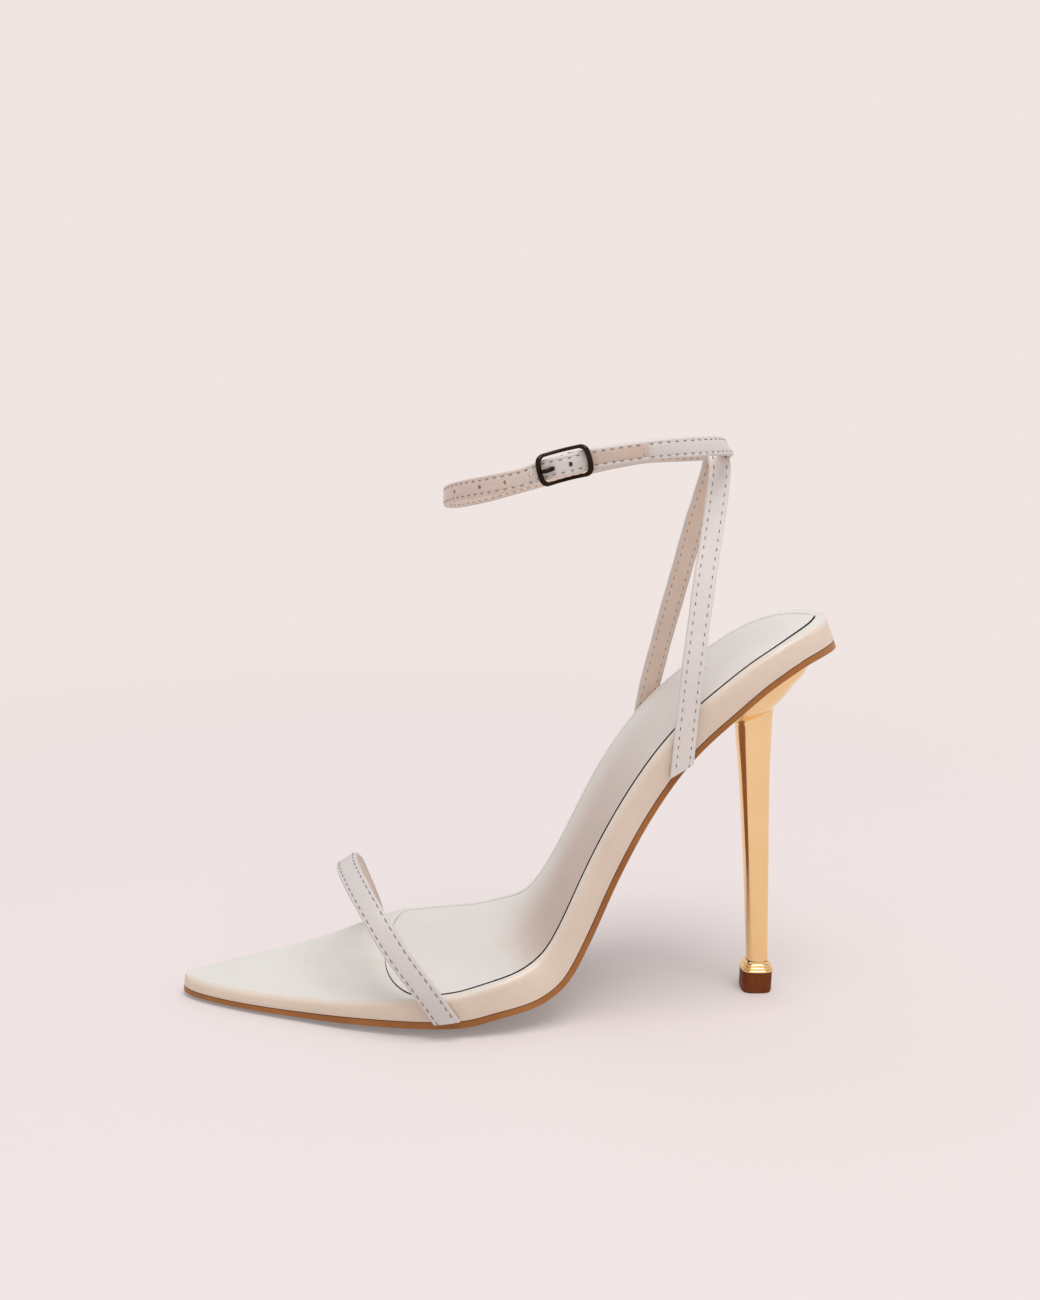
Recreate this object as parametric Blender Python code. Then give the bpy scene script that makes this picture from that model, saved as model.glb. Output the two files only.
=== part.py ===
"""Strappy high-heeled sandal, the left shoe of the pair, standing empty on heel tip and forefoot.

The toe points to -X, the wearer's left (outer) side to -Y, and the floor is z = 0.
Tables and sizes are in millimetres, with x measured from the toe tip; place() turns them to metres.
"""

import math

import bmesh
import bpy
import numpy as np
from mathutils import Vector

MM = 0.001
MERGE = 0.00001  # metres

# Overall frame: the toe tip is at x = 0 and the back of the seat at x = LENGTH.
LENGTH = 214.0
MIDDLE_X = LENGTH / 2
MIDDLE_Y = 1.74

GAP = 0.3  # clearance between glued pieces

# Sole, a row for each cross-section. z is the underside on the middle line; outer and inner are
# half widths; outer_lift and inner_lift raise the underside's edges; sole and bed are thicknesses.
SOLE_COLUMNS = ("x", "z", "outer", "inner", "outer_lift", "inner_lift", "sole", "bed")
SOLE_ROWS = (
    (0, 1.6, 0.0, 0.0, 0.0, 0.0, 1.8, 4.0),
    (4, 1.2, 5.2, 5.4, 0.1, 0.1, 1.8, 4.0),
    (12, 0.9, 10.0, 11.4, 0.3, 0.3, 1.8, 4.0),
    (24, 0.6, 15.6, 18.0, 0.6, 0.6, 1.9, 4.0),
    (40, 0.3, 22.0, 26.0, 1.2, 1.3, 2.1, 4.2),
    (58, 0.0, 28.8, 34.4, 2.2, 2.6, 2.5, 5.0),
    (76, 0.0, 33.4, 39.4, 2.8, 3.6, 3.0, 6.4),
    (92, 0.5, 35.0, 39.6, 2.9, 4.2, 3.1, 7.6),
    (106, 3.8, 33.9, 37.0, 2.6, 5.2, 2.9, 8.4),
    (118, 7.6, 30.8, 33.4, 1.9, 6.0, 2.6, 8.9),
    (127, 14.6, 28.2, 30.8, 1.5, 5.2, 2.3, 9.1),
    (134, 28.6, 26.6, 28.8, 1.2, 3.0, 2.2, 9.2),
    (142, 48.6, 25.4, 27.0, 1.0, 1.2, 2.2, 9.2),
    (152, 69.6, 24.7, 25.8, 0.8, 0.8, 2.2, 9.0),
    (164, 88.0, 24.5, 25.0, 0.8, 0.6, 2.2, 8.6),
    (178, 102.2, 24.4, 24.6, 0.8, 0.4, 2.2, 8.2),
    (192, 113.8, 22.8, 22.8, 0.8, 0.2, 2.3, 7.8),
    (204, 120.2, 17.6, 17.6, 0.6, 0.0, 2.5, 7.3),
    (211, 122.0, 9.8, 9.8, 0.3, 0.0, 2.6, 6.9),
    (LENGTH, 122.5, 0.0, 0.0, 0.0, 0.0, 2.6, 6.8),
)
SOLE_STATIONS = 70
END_CROWDING = 0.5  # 0 spaces the sections evenly, near 1 crowds them at toe and seat back
END_HALF_WIDTH = 0.6
FLAT_SHARE = 0.42  # share of each half width where the underside stays flat
SOLE_SHARES = (-1.0, -0.72, -FLAT_SHARE, 0.0, FLAT_SHARE, 0.72, 1.0)
BACK_LEAN_FROM, BACK_LEAN = 198.0, 0.25  # the seat back's wall leans forward by this share of its height
RIM_RADIUS = 2.0
RIM_TURNS = (0, 30, 60, 90)  # degrees round the rim, from its side to its top

# Sock: the padded insole cover let into the footbed, from behind the toes to the seat back.
SOCK_FRONT = 67.5
SOCK_BACK = LENGTH - 4.0
SOCK_INSET = 3.2
SOCK_DEPTH = 1.4
SOCK_CROWN = 0.5
SOCK_FRONT_ROUND = 13.0
SOCK_BACK_ROUND = 20.0
SOCK_BACK_SQUARE = 2.6
SOCK_STATIONS = 40
SOCK_SHARES = (-1.0, -0.96, -0.5, 0.0, 0.5, 0.96, 1.0)
RECESS_TOP = 6.0  # the recess cutter's top above the footbed

STRAP_THICK = 1.9
TOE_STRAP_WIDTH = 7.4
HEEL_STRAP_WIDTH = 7.0
ANKLE_STRAP_WIDTH = 6.0
ANKLE_STRAP_THICK = 1.7

# Toe strap, from its outer foot over the toes to its inner foot. side is -1 at the outer foot and 1
# at the inner foot, and scales the half width there; turn leans the strap's width inwards.
TOE_COLUMNS = ("x", "side", "z", "turn")
TOE_ROWS = (
    (87.6, -1.0, 6.4, 0.00),
    (80.3, -1.01, 17.5, 0.02),
    (72.0, -0.945, 28.5, 0.08),
    (65.0, -0.78, 38.0, 0.16),
    (59.3, -0.50, 44.0, 0.24),
    (55.4, -0.13, 46.2, 0.28),
    (54.8, 0.14, 45.2, 0.30),
    (56.6, 0.40, 39.0, 0.30),
    (59.4, 0.69, 26.5, 0.29),
    (62.0, 0.93, 15.0, 0.28),
    (63.4, 1.0, 7.6, 0.28),
)
TOE_WIDE_X, TOE_WIDE_Z = 0.85, 0.47  # the strap's width runs backwards and up

# Heel strap, an upside-down V from the outer side of the seat over its top to the inner side.
HEEL_STRAP_COLUMNS = ("x", "side", "z")
HEEL_STRAP_ROWS = (
    (160.8, -1.0, 86.2),
    (161.8, -1.0, 102.0),
    (163.4, -0.95, 122.0),
    (166.5, -0.72, 144.0),
    (170.3, -0.40, 164.0),
    (172.5, -0.17, 176.8),
    (172.5, -0.105, 181.2),
    (172.2, 0.0, 183.6),
    (172.1, 0.105, 181.2),
    (171.6, 0.17, 176.8),
    (168.6, 0.39, 161.0),
    (165.0, 0.68, 139.0),
    (161.2, 0.93, 117.0),
    (157.4, 1.0, 97.0),
    (155.6, 1.0, 82.0),
)
FOOT_REACH = 4.0  # how far along the sole a strap's foot reaches each way
STRAP_STEPS = 3

# Ankle strap: from the buckle's middle bar back round the heel, forward on the inner side, round
# the front and through the buckle to the free end. The last rows lie over the first ones, and lean
# tips the strap's upper edge forwards.
ANKLE_COLUMNS = ("x", "y", "z", "lean")
ANKLE_ROWS = (
    (122.3, -27.5, 182.3, 0.0),
    (134.0, -26.9, 184.0, 0.0),
    (148.0, -26.3, 186.4, 0.08),
    (161.0, -22.6, 187.2, 0.3),
    (170.6, -14.0, 186.8, 0.65),
    (174.6, -3.0, 185.2, 1.0),
    (173.2, 9.0, 183.4, 0.65),
    (165.4, 19.5, 182.0, 0.3),
    (152.0, 25.8, 180.4, 0.08),
    (134.0, 27.4, 176.4, 0.0),
    (114.0, 26.4, 170.8, 0.0),
    (98.0, 21.0, 167.0, 0.0),
    (89.2, 11.0, 166.6, 0.0),
    (86.6, -1.0, 168.8, 0.0),
    (90.0, -13.6, 171.8, 0.0),
    (98.6, -22.6, 174.6, 0.0),
    (108.0, -27.0, 177.2, 0.0),
    (114.4, -28.5, 179.9, 0.0),
    (120.4, -30.1, 181.6, 0.0),
    (126.6, -29.2, 183.2, 0.0),
    (135.0, -29.1, 184.8, 0.0),
    (145.8, -28.7, 186.4, 0.0),
)
ANKLE_STEPS = 3
OVERLAP_ROWS = 6  # the last rows, on the outer side of the ankle

# Buckle, about the middle of the strap at BUCKLE_X on the outer side.
BUCKLE_X = 120.4
BUCKLE_LONG, BUCKLE_TALL = 15.4, 10.0
BUCKLE_WIRE = 1.3
BUCKLE_BULGE = 0.6  # how far the side bars bow outwards along the strap
BUCKLE_CORNER = 2.2
BUCKLE_TURNS = (0, 30, 60, 90)
BUCKLE_RAIL_SHARES = (0.35, 0.0, -0.35)  # points along the upper and lower bars
BUCKLE_SIDE_OUT = 0.6  # the frame's side bars outside the strap's middle line
PRONG_WIRE = 1.1
PRONG_HOLE = 2.0
PRONG_HOLE_AHEAD = 3.4
PRONG_HOLE_IN, PRONG_HOLE_OUT = 2.2, 3.0  # the hole cutter's reach each way from the middle line
PRONG_COLUMNS = ("ahead", "out")
PRONG_ROWS = (
    (1.3, -2.0),
    (2.5, -2.2),
    (3.2, -1.75),
    (3.45, -0.6),
    (3.65, 0.6),
    (4.3, 1.5),
    (5.6, 2.1),
    (7.5, 2.2),
)
WIRE_ROUNDNESS = 1
ROD_POINTS = 10
HOLE_POINTS = 12

# Heel, a row for each section, which runs from a point at the front to one at the back. The stem ends
# at the sixth row, and the flared seat above it starts with a small lip.
HEEL_COLUMNS = ("front_x", "front_z", "back_x", "back_z", "half")
HEEL_ROWS = (
    (191.0, 11.2, 198.2, 11.2, 3.7),
    (189.2, 34.0, 197.2, 34.0, 4.0),
    (186.9, 58.5, 196.0, 58.5, 4.6),
    (184.8, 78.5, 195.1, 79.0, 5.3),
    (183.4, 89.0, 194.9, 92.0, 6.2),
    (182.4, 95.8, 194.9, 101.8, 7.4),
    (179.6, 96.2, 195.4, 102.6, 9.2),
    (178.0, 97.2, 196.4, 103.8, 10.8),
    (176.4, 100.4, 199.8, 107.4, 14.8),
    (175.2, 104.2, 202.6, 111.6, 17.8),
    (174.4, 109.6, 204.4, 116.0, 19.6),
    (174.0, 115.0, 205.2, 121.0, 20.4),
)
HEEL_CORNER = 2.4  # 2 is an ellipse, larger is squarer
HEEL_STEPS = 3
SEAT_CUT_FRONT = 160.0
SEAT_CUT_STATIONS = 24
SEAT_CUT_SPREAD = 1.3  # the cutter's width as a share of the sole's
ROUND_POINTS = 24

# Heel tip and the stepped ring above it, about TIP_X.
TIP_X = (HEEL_ROWS[0][0] + HEEL_ROWS[0][2]) / 2
TIP_LONG, TIP_WIDE, TIP_HIGH = 10.4, 9.6, 7.4
RING_BOTTOM, RING_TOP = TIP_HIGH + GAP, HEEL_ROWS[0][1] - GAP
RING_CORNER, TIP_CORNER = 3.2, 3.6
RING_COLUMNS = ("z", "size")
RING_ROWS = (
    (RING_BOTTOM, 1.03),
    (RING_BOTTOM + 0.7, 1.05),
    (RING_BOTTOM + 0.95, 0.94),
    (RING_BOTTOM + 1.6, 0.94),
    (RING_BOTTOM + 1.85, 0.84),
    (RING_BOTTOM + 2.5, 0.83),
    (RING_TOP, 0.72),
)
TIP_COLUMNS = ("z", "size")
TIP_ROWS = (
    (0.0, 0.97),
    (0.6, 1.0),
    (TIP_HIGH, 1.0),
)

SHARP_ANGLE = 35  # degrees between faces that shows as an edge
SLOPE_SPAN = 0.5
MIN_ROUND_SHARE = 0.45  # the rim's largest radius as a share of the half width


def place(x, y, z):
    """A table point in the object's frame, in metres."""
    return Vector(((x - MIDDLE_X) * MM, (y - MIDDLE_Y) * MM, z * MM))


def column(rows, columns, name):
    return np.array([row[columns.index(name)] for row in rows], float)


def smooth(knots, values, at):
    """A cubic through the knots that adds no bump of its own and stays level between equal values."""
    knots, values = np.asarray(knots, float), np.asarray(values, float)
    step = np.diff(knots)
    rise = np.diff(values) / step
    slope = np.zeros_like(values)
    same_way = rise[:-1] * rise[1:] > 0
    ahead, behind = 2 * step[1:] + step[:-1], step[1:] + 2 * step[:-1]
    safe = np.where(same_way, rise[:-1] * rise[1:], 1.0)
    mean = (ahead + behind) * safe / (ahead * rise[1:] + behind * rise[:-1] + (~same_way))
    slope[1:-1] = np.where(same_way, mean, 0.0)
    slope[0], slope[-1] = rise[0], rise[-1]
    at = np.clip(at, knots[0], knots[-1])
    i = np.clip(np.searchsorted(knots, at, side="right") - 1, 0, len(step) - 1)
    t = (at - knots[i]) / step[i]
    return (
        values[i] * (1 + 2 * t) * (1 - t) ** 2
        + values[i + 1] * t**2 * (3 - 2 * t)
        + step[i] * (slope[i] * t * (1 - t) ** 2 - slope[i + 1] * t**2 * (1 - t))
    )


def spline(rows, steps):
    """Points on a Catmull-Rom curve through the rows, with this many steps between two rows."""
    points = [Vector(row) for row in rows]
    count = len(points)
    out = []
    for i in range(count - 1):
        b, c = points[i], points[i + 1]
        a = points[i - 1] if i else b * 2 - c
        d = points[i + 2] if i + 2 < count else c * 2 - b
        square, cube = a * 2 - b * 5 + c * 4 - d, b * 3 - a - c * 3 + d
        for k in range(steps):
            t = k / steps
            out.append((b * 2 + (c - a) * t + square * t**2 + cube * t**3) / 2)
    return out + [points[-1]]


def material(name, colour, metallic, roughness):
    made = bpy.data.materials.new(name)
    made.use_nodes = True
    shader = made.node_tree.nodes["Principled BSDF"]
    shader.inputs["Base Color"].default_value = (*colour, 1.0)
    shader.inputs["Metallic"].default_value = metallic
    shader.inputs["Roughness"].default_value = roughness
    return made


def add_object(name, mesh, look, collection):
    made = bpy.data.objects.new(name, mesh)
    collection.objects.link(made)
    if look:
        mesh.materials.append(look)
    mesh.shade_smooth()
    mesh.set_sharp_from_angle(angle=math.radians(SHARP_ANGLE))
    return made


def loft(name, rings, look, collection):
    """A closed body through rings with the same number of points, capped at both ends."""
    shape = bmesh.new()
    loops = [[shape.verts.new(point) for point in ring] for ring in rings]
    count = len(loops[0])
    for low, high in zip(loops, loops[1:]):
        for i in range(count):
            j = (i + 1) % count
            shape.faces.new((low[i], low[j], high[j], high[i]))
    shape.faces.new(loops[0][::-1])
    shape.faces.new(loops[-1])
    bmesh.ops.recalc_face_normals(shape, faces=shape.faces)
    mesh = bpy.data.meshes.new(name)
    shape.to_mesh(mesh)
    shape.free()
    return add_object(name, mesh, look, collection)


def cutter(made):
    made.hide_render = True
    made.display_type = "WIRE"
    return made


def boolean(target, other, operation):
    step = target.modifiers.new(f"{operation.lower()} {other.name}", "BOOLEAN")
    step.operation = operation
    step.object = other


def sole_value(name, x):
    knots = column(SOLE_ROWS, SOLE_COLUMNS, "x")
    values = column(SOLE_ROWS, SOLE_COLUMNS, name)
    if name in ("outer", "inner"):
        # Squares are interpolated, so that toe and seat back come out round.
        return np.sqrt(np.maximum(smooth(knots, values**2, x), END_HALF_WIDTH**2))
    return smooth(knots, values, x)


def sole_stations(first, last, count):
    """Places along x, spaced by length along the curved sole and crowded at both ends."""
    fine = np.linspace(first, last, 800)
    length = np.concatenate([[0], np.cumsum(np.hypot(np.diff(fine), np.diff(sole_value("z", fine))))])
    share = np.linspace(0, 1, count)
    share = share - END_CROWDING * np.sin(2 * math.pi * share) / (2 * math.pi)
    return np.interp(share * length[-1], length, fine)


def sole_point(x, across, height):
    """The point that lies this far across and above the sole's underside, square to it at x."""
    behind, ahead = min(x + SLOPE_SPAN, LENGTH), max(x - SLOPE_SPAN, 0)
    slope = float(sole_value("z", behind) - sole_value("z", ahead)) / (behind - ahead)
    run = math.hypot(1, slope)
    lean = BACK_LEAN * (max(x - BACK_LEAN_FROM, 0) / (LENGTH - BACK_LEAN_FROM)) ** 2
    return place(x - height * (slope / run + lean), across, float(sole_value("z", x)) + height / run)


def edge_lift(share, lift):
    """How far the underside rises at this share of the half width."""
    return lift * (max(abs(share) - FLAT_SHARE, 0) / (1 - FLAT_SHARE)) ** 2


def underside(x):
    """Pairs of width and lift across the sole, from the outer edge to the inner edge."""
    outer, inner = float(sole_value("outer", x)), float(sole_value("inner", x))
    outer_lift, inner_lift = float(sole_value("outer_lift", x)), float(sole_value("inner_lift", x))
    pairs = []
    for share in SOLE_SHARES:
        half, lift = (outer, outer_lift) if share < 0 else (inner, inner_lift)
        pairs.append((share * half, edge_lift(share, lift)))
    return pairs


def make_outsole(look, collection):
    rings = []
    for x in sole_stations(0, LENGTH, SOLE_STATIONS):
        thick = float(sole_value("sole", x))
        low = [sole_point(x, y, lift) for y, lift in underside(x)]
        high = [sole_point(x, y, lift + thick) for y, lift in underside(x)]
        rings.append(low + high[::-1])
    return loft("outsole", rings, look, collection)


def bed_levels(x):
    """Underside height, outer rim height and inner rim height of the footbed at x."""
    base = float(sole_value("sole", x)) + GAP
    thick = float(sole_value("bed", x))
    outer = base + thick + float(sole_value("outer_lift", x))
    inner = base + thick + float(sole_value("inner_lift", x))
    return base, outer, inner


def bed_top(x, y):
    """Height of the footbed's flat top at this width, which leans from rim to rim."""
    _, outer, inner = bed_levels(x)
    left, right = -float(sole_value("outer", x)), float(sole_value("inner", x))
    return outer + (inner - outer) * (y - left) / (right - left)


def make_footbed(look, collection):
    turns = [math.radians(angle) for angle in RIM_TURNS]
    rings = []
    for x in sole_stations(0, LENGTH, SOLE_STATIONS):
        base, _, _ = bed_levels(x)
        outer, inner = float(sole_value("outer", x)), float(sole_value("inner", x))
        low = [sole_point(x, y, lift + base) for y, lift in underside(x)]
        round_off = min(RIM_RADIUS, MIN_ROUND_SHARE * min(outer, inner))
        high = []
        for side, turn_list in ((inner, turns), (-outer, turns[::-1])):
            sign = math.copysign(1, side)
            for turn in turn_list:
                y = side - sign * round_off * (1 - math.cos(turn))
                high.append(sole_point(x, y, bed_top(x, y) - round_off * (1 - math.sin(turn))))
        rings.append(low + high)
    return loft("footbed", rings, look, collection)


def sock_half(x, side, grow):
    """Half width of the sock's outline, rounded at its front and back ends and grown by a clearance."""
    half = float(sole_value(side, x)) - SOCK_INSET + grow
    front = min(max((x - SOCK_FRONT + grow) / SOCK_FRONT_ROUND, 0), 1)
    back = min(max((SOCK_BACK + grow - x) / SOCK_BACK_ROUND, 0), 1)
    full = math.sqrt(1 - (1 - front) ** 2) * math.sqrt(1 - (1 - back) ** SOCK_BACK_SQUARE)
    return max(half * full, END_HALF_WIDTH)


def make_sock(name, grow, bottom, top, crown, look, collection):
    rings = []
    for x in sole_stations(SOCK_FRONT - grow, SOCK_BACK + grow, SOCK_STATIONS):
        x = float(x)
        ys = [share * sock_half(x, "outer" if share < 0 else "inner", grow) for share in SOCK_SHARES]
        low = [sole_point(x, y, bed_top(x, y) + bottom) for y in ys]
        rises = [top + crown * (1 - share**4) for share in SOCK_SHARES]
        high = [sole_point(x, y, bed_top(x, y) + rise) for y, rise in zip(ys, rises)]
        rings.append(low + high[::-1])
    return loft(name, rings, look, collection)


def ribbon(name, path, across, width, thick, look, collection):
    """A flat strap along a path, with its width along the across directions."""
    rings = []
    for i, point in enumerate(path):
        along = (path[min(i + 1, len(path) - 1)] - path[max(i - 1, 0)]).normalized()
        wide = (across[i] - along * across[i].dot(along)).normalized()
        out = along.cross(wide)
        half, deep = wide * width / 2, out * thick / 2
        corners = (point - half - deep, point + half - deep, point + half + deep, point - half + deep)
        rings.append([place(*corner) for corner in corners])
    return loft(name, rings, look, collection)


def foot_side(side, x):
    """How far out a strap's middle line lies beside the sole where its foot is glued on."""
    widest = max(float(sole_value(side, at)) for at in (x - FOOT_REACH, x, x + FOOT_REACH))
    return widest + GAP + STRAP_THICK / 2


def strap_path(rows, columns):
    """Points through a table whose side column is a share of the half width at its two feet."""
    x, side, z = (column(rows, columns, name) for name in ("x", "side", "z"))
    y = np.where(side < 0, side * foot_side("outer", x[0]), side * foot_side("inner", x[-1]))
    return spline(list(zip(x, y, z)), STRAP_STEPS)


def make_toe_strap(look, collection):
    path = strap_path(TOE_ROWS, TOE_COLUMNS)
    turns = spline([(turn, 0, 0) for turn in column(TOE_ROWS, TOE_COLUMNS, "turn")], STRAP_STEPS)
    across = [Vector((TOE_WIDE_X, turn.x, TOE_WIDE_Z)) for turn in turns]
    return ribbon("toe_strap", path, across, TOE_STRAP_WIDTH, STRAP_THICK, look, collection)


def heel_strap_path():
    """Centre points and width directions of the upside-down V."""
    path = strap_path(HEEL_STRAP_ROWS, HEEL_STRAP_COLUMNS)
    return path, [Vector((1, 0, 0))] * len(path)


def ankle_path():
    path = spline([row[:3] for row in ANKLE_ROWS], ANKLE_STEPS)
    leans = spline([(lean, 0, 0) for lean in column(ANKLE_ROWS, ANKLE_COLUMNS, "lean")], ANKLE_STEPS)
    return path, [Vector((-lean.x, 0, 1)) for lean in leans]


def make_rear_straps(look, collection, cutters):
    """The heel strap's V and the ankle strap, joined where the ankle strap crosses the V's top."""
    straps = ribbon(
        "ankle_and_heel_straps", *ankle_path(), ANKLE_STRAP_WIDTH, ANKLE_STRAP_THICK, look, collection
    )
    heel = ribbon("heel_strap_v", *heel_strap_path(), HEEL_STRAP_WIDTH, STRAP_THICK, None, cutters)
    boolean(straps, cutter(heel), "UNION")
    centre, along, _, out = buckle_frame()
    hole_at = centre - along * PRONG_HOLE_AHEAD
    ends = hole_at - out * PRONG_HOLE_IN, hole_at + out * PRONG_HOLE_OUT
    boolean(straps, cutter(rod("prong_hole", *ends, PRONG_HOLE, None, cutters, HOLE_POINTS)), "DIFFERENCE")
    return straps


def rod(name, start, end, wide, look, collection, points=ROD_POINTS):
    """A round rod between two table points."""
    start, end = place(*start), place(*end)
    axis = end - start
    shape = bmesh.new()
    bmesh.ops.create_cone(
        shape, cap_ends=True, segments=points, radius1=wide * MM / 2, radius2=wide * MM / 2, depth=axis.length
    )
    mesh = bpy.data.meshes.new(name)
    shape.to_mesh(mesh)
    shape.free()
    made = add_object(name, mesh, look, collection)
    made.rotation_euler = axis.to_track_quat("Z", "Y").to_euler()
    made.location = (start + end) / 2
    return made


def wire(name, line, thick, closed, look, collection):
    """A round wire bent through the points of a line."""
    curve = bpy.data.curves.new(name, "CURVE")
    curve.dimensions = "3D"
    curve.bevel_depth = thick / 2 * MM
    curve.bevel_resolution = WIRE_ROUNDNESS
    curve.use_fill_caps = not closed
    run = curve.splines.new("POLY")
    run.points.add(len(line) - 1)
    for spot, point in zip(run.points, line):
        spot.co = (*place(*point), 1)
    run.use_cyclic_u = closed
    source = bpy.data.objects.new(name, curve)
    collection.objects.link(source)
    graph = bpy.context.evaluated_depsgraph_get()
    mesh = bpy.data.meshes.new_from_object(source.evaluated_get(graph))
    bpy.data.objects.remove(source)
    shape = bmesh.new()
    shape.from_mesh(mesh)
    bmesh.ops.remove_doubles(shape, verts=shape.verts, dist=MERGE)
    bmesh.ops.recalc_face_normals(shape, faces=shape.faces)
    shape.to_mesh(mesh)
    shape.free()
    return add_object(name, mesh, look, collection)


def buckle_frame():
    """Centre of the strap inside the buckle, and the directions along it, across it and outward."""
    path, _ = ankle_path()
    outer_side = path[-OVERLAP_ROWS * ANKLE_STEPS :]
    i = min(range(len(outer_side)), key=lambda k: abs(outer_side[k].x - BUCKLE_X))
    along = (outer_side[i + 1] - outer_side[i - 1]).normalized()
    wide = Vector((0, 0, 1))
    wide = (wide - along * wide.dot(along)).normalized()
    return outer_side[i], along, wide, along.cross(wide)


def make_buckle(look, collection, cutters):
    """A rounded frame that bows away from its middle bar, which the strap's end is folded round."""
    centre, along, wide, out = buckle_frame()
    middle = -(ANKLE_STRAP_THICK / 2 + GAP + BUCKLE_WIRE / 2)
    long_half, tall_half = (BUCKLE_LONG - BUCKLE_WIRE) / 2, (BUCKLE_TALL - BUCKLE_WIRE) / 2
    points = []
    for sx, sy in ((1, 1), (-1, 1), (-1, -1), (1, -1)):
        turns = BUCKLE_TURNS if sx == sy else BUCKLE_TURNS[::-1]
        for turn in (math.radians(angle) for angle in turns):
            u = sx * (long_half - BUCKLE_CORNER * (1 - math.cos(turn)))
            v = sy * (tall_half - BUCKLE_CORNER * (1 - math.sin(turn)))
            points.append((u + sx * BUCKLE_BULGE * (1 - (v / tall_half) ** 2), v))
        if sy == sx:
            points += [(sx * long_half * share, sy * tall_half) for share in BUCKLE_RAIL_SHARES]
        else:
            points.append((sx * (long_half + BUCKLE_BULGE), 0.0))
    bow = [middle + (BUCKLE_SIDE_OUT - middle) * (u / long_half) ** 2 for u, _ in points]
    line = [centre + along * u + wide * v + out * lift for (u, v), lift in zip(points, bow)]
    frame = wire("buckle_frame", line, BUCKLE_WIRE, True, look, collection)
    bar = rod(
        "buckle_bar",
        centre - wide * tall_half + out * middle,
        centre + wide * tall_half + out * middle,
        BUCKLE_WIRE,
        None,
        cutters,
    )
    boolean(frame, cutter(bar), "UNION")
    return frame


def make_prong(look, collection):
    """The prong, from the middle bar behind the strap, out through its hole and onto the front bar."""
    centre, along, _, out = buckle_frame()
    line = [centre - along * ahead + out * lift for ahead, lift in PRONG_ROWS]
    return wire("buckle_prong", line, PRONG_WIRE, False, look, collection)


def rounded_ring(front, back, wide_half, corner):
    """A ring from a front point to a back one, whose corners are as square as the exponent says."""
    middle, reach = (front + back) / 2, (back - front) / 2
    ring = []
    for i in range(ROUND_POINTS):
        turn = 2 * math.pi * i / ROUND_POINTS
        c, s = math.cos(turn), math.sin(turn)
        along = middle + reach * math.copysign(abs(c) ** (2 / corner), c)
        y = wide_half * math.copysign(abs(s) ** (2 / corner), s)
        ring.append(place(along.x, y, along.y))
    return ring


def make_heel(look, collection, cutters):
    """The flared seat and tapering stem, cut off against the outsole's underside."""
    knots = np.arange(len(HEEL_ROWS))
    values = [column(HEEL_ROWS, HEEL_COLUMNS, name) for name in HEEL_COLUMNS]
    rings = []
    for at in np.linspace(0, knots[-1], knots[-1] * HEEL_STEPS + 1):
        front_x, front_z, back_x, back_z, wide = (float(smooth(knots, row, at)) for row in values)
        rings.append(rounded_ring(Vector((front_x, front_z)), Vector((back_x, back_z)), wide, HEEL_CORNER))
    heel = loft("heel", rings, look, collection)
    cut_height = values[HEEL_COLUMNS.index("back_z")][-1] - float(sole_value("z", SEAT_CUT_FRONT))
    slab = []
    for x in np.linspace(SEAT_CUT_FRONT, LENGTH, SEAT_CUT_STATIONS):
        low = [sole_point(x, y * SEAT_CUT_SPREAD, lift - GAP) for y, lift in underside(x)]
        high = [sole_point(x, y * SEAT_CUT_SPREAD, lift + cut_height) for y, lift in underside(x)]
        slab.append(low + high[::-1])
    boolean(heel, cutter(loft("seat_cut", slab, None, cutters)), "DIFFERENCE")
    return heel


def tip_rings(rows, columns, corner):
    rings = []
    for z, size in zip(column(rows, columns, "z"), column(rows, columns, "size")):
        reach = Vector((TIP_LONG / 2 * size, 0))
        middle = Vector((TIP_X, z))
        rings.append(rounded_ring(middle - reach, middle + reach, TIP_WIDE / 2 * size, corner))
    return rings


def make_heel_ring(look, collection):
    return loft("heel_ring", tip_rings(RING_ROWS, RING_COLUMNS, RING_CORNER), look, collection)


def make_heel_tip(look, collection):
    return loft("heel_tip", tip_rings(TIP_ROWS, TIP_COLUMNS, TIP_CORNER), look, collection)


def build():
    for old in list(bpy.data.objects):
        bpy.data.objects.remove(old)
    parts = bpy.data.collections.new("strappy_heeled_sandal")
    cutters = bpy.data.collections.new("cutters")
    for made in (parts, cutters):
        bpy.context.scene.collection.children.link(made)

    ivory = material("ivory_leather", (0.79, 0.71, 0.63), 0.0, 0.5)
    lining = material("ivory_sock_leather", (0.82, 0.76, 0.70), 0.0, 0.55)
    brown = material("brown_sole_leather", (0.24, 0.09, 0.03), 0.0, 0.45)
    gold = material("gold_metal", (0.85, 0.62, 0.36), 1.0, 0.18)
    dark = material("dark_metal", (0.05, 0.04, 0.035), 1.0, 0.3)
    rubber = material("brown_tip", (0.16, 0.06, 0.025), 0.0, 0.4)

    make_outsole(brown, parts)
    footbed = make_footbed(ivory, parts)
    make_sock("insole_sock", 0.0, -SOCK_DEPTH, 0.0, SOCK_CROWN, lining, parts)
    recess = make_sock("sock_recess", GAP, -SOCK_DEPTH - GAP, RECESS_TOP, 0.0, None, cutters)
    boolean(footbed, cutter(recess), "DIFFERENCE")
    make_toe_strap(ivory, parts)
    make_rear_straps(ivory, parts, cutters)
    make_buckle(dark, parts, cutters)
    make_prong(dark, parts)
    make_heel(gold, parts, cutters)
    make_heel_ring(gold, parts)
    make_heel_tip(rubber, parts)


build()
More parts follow.
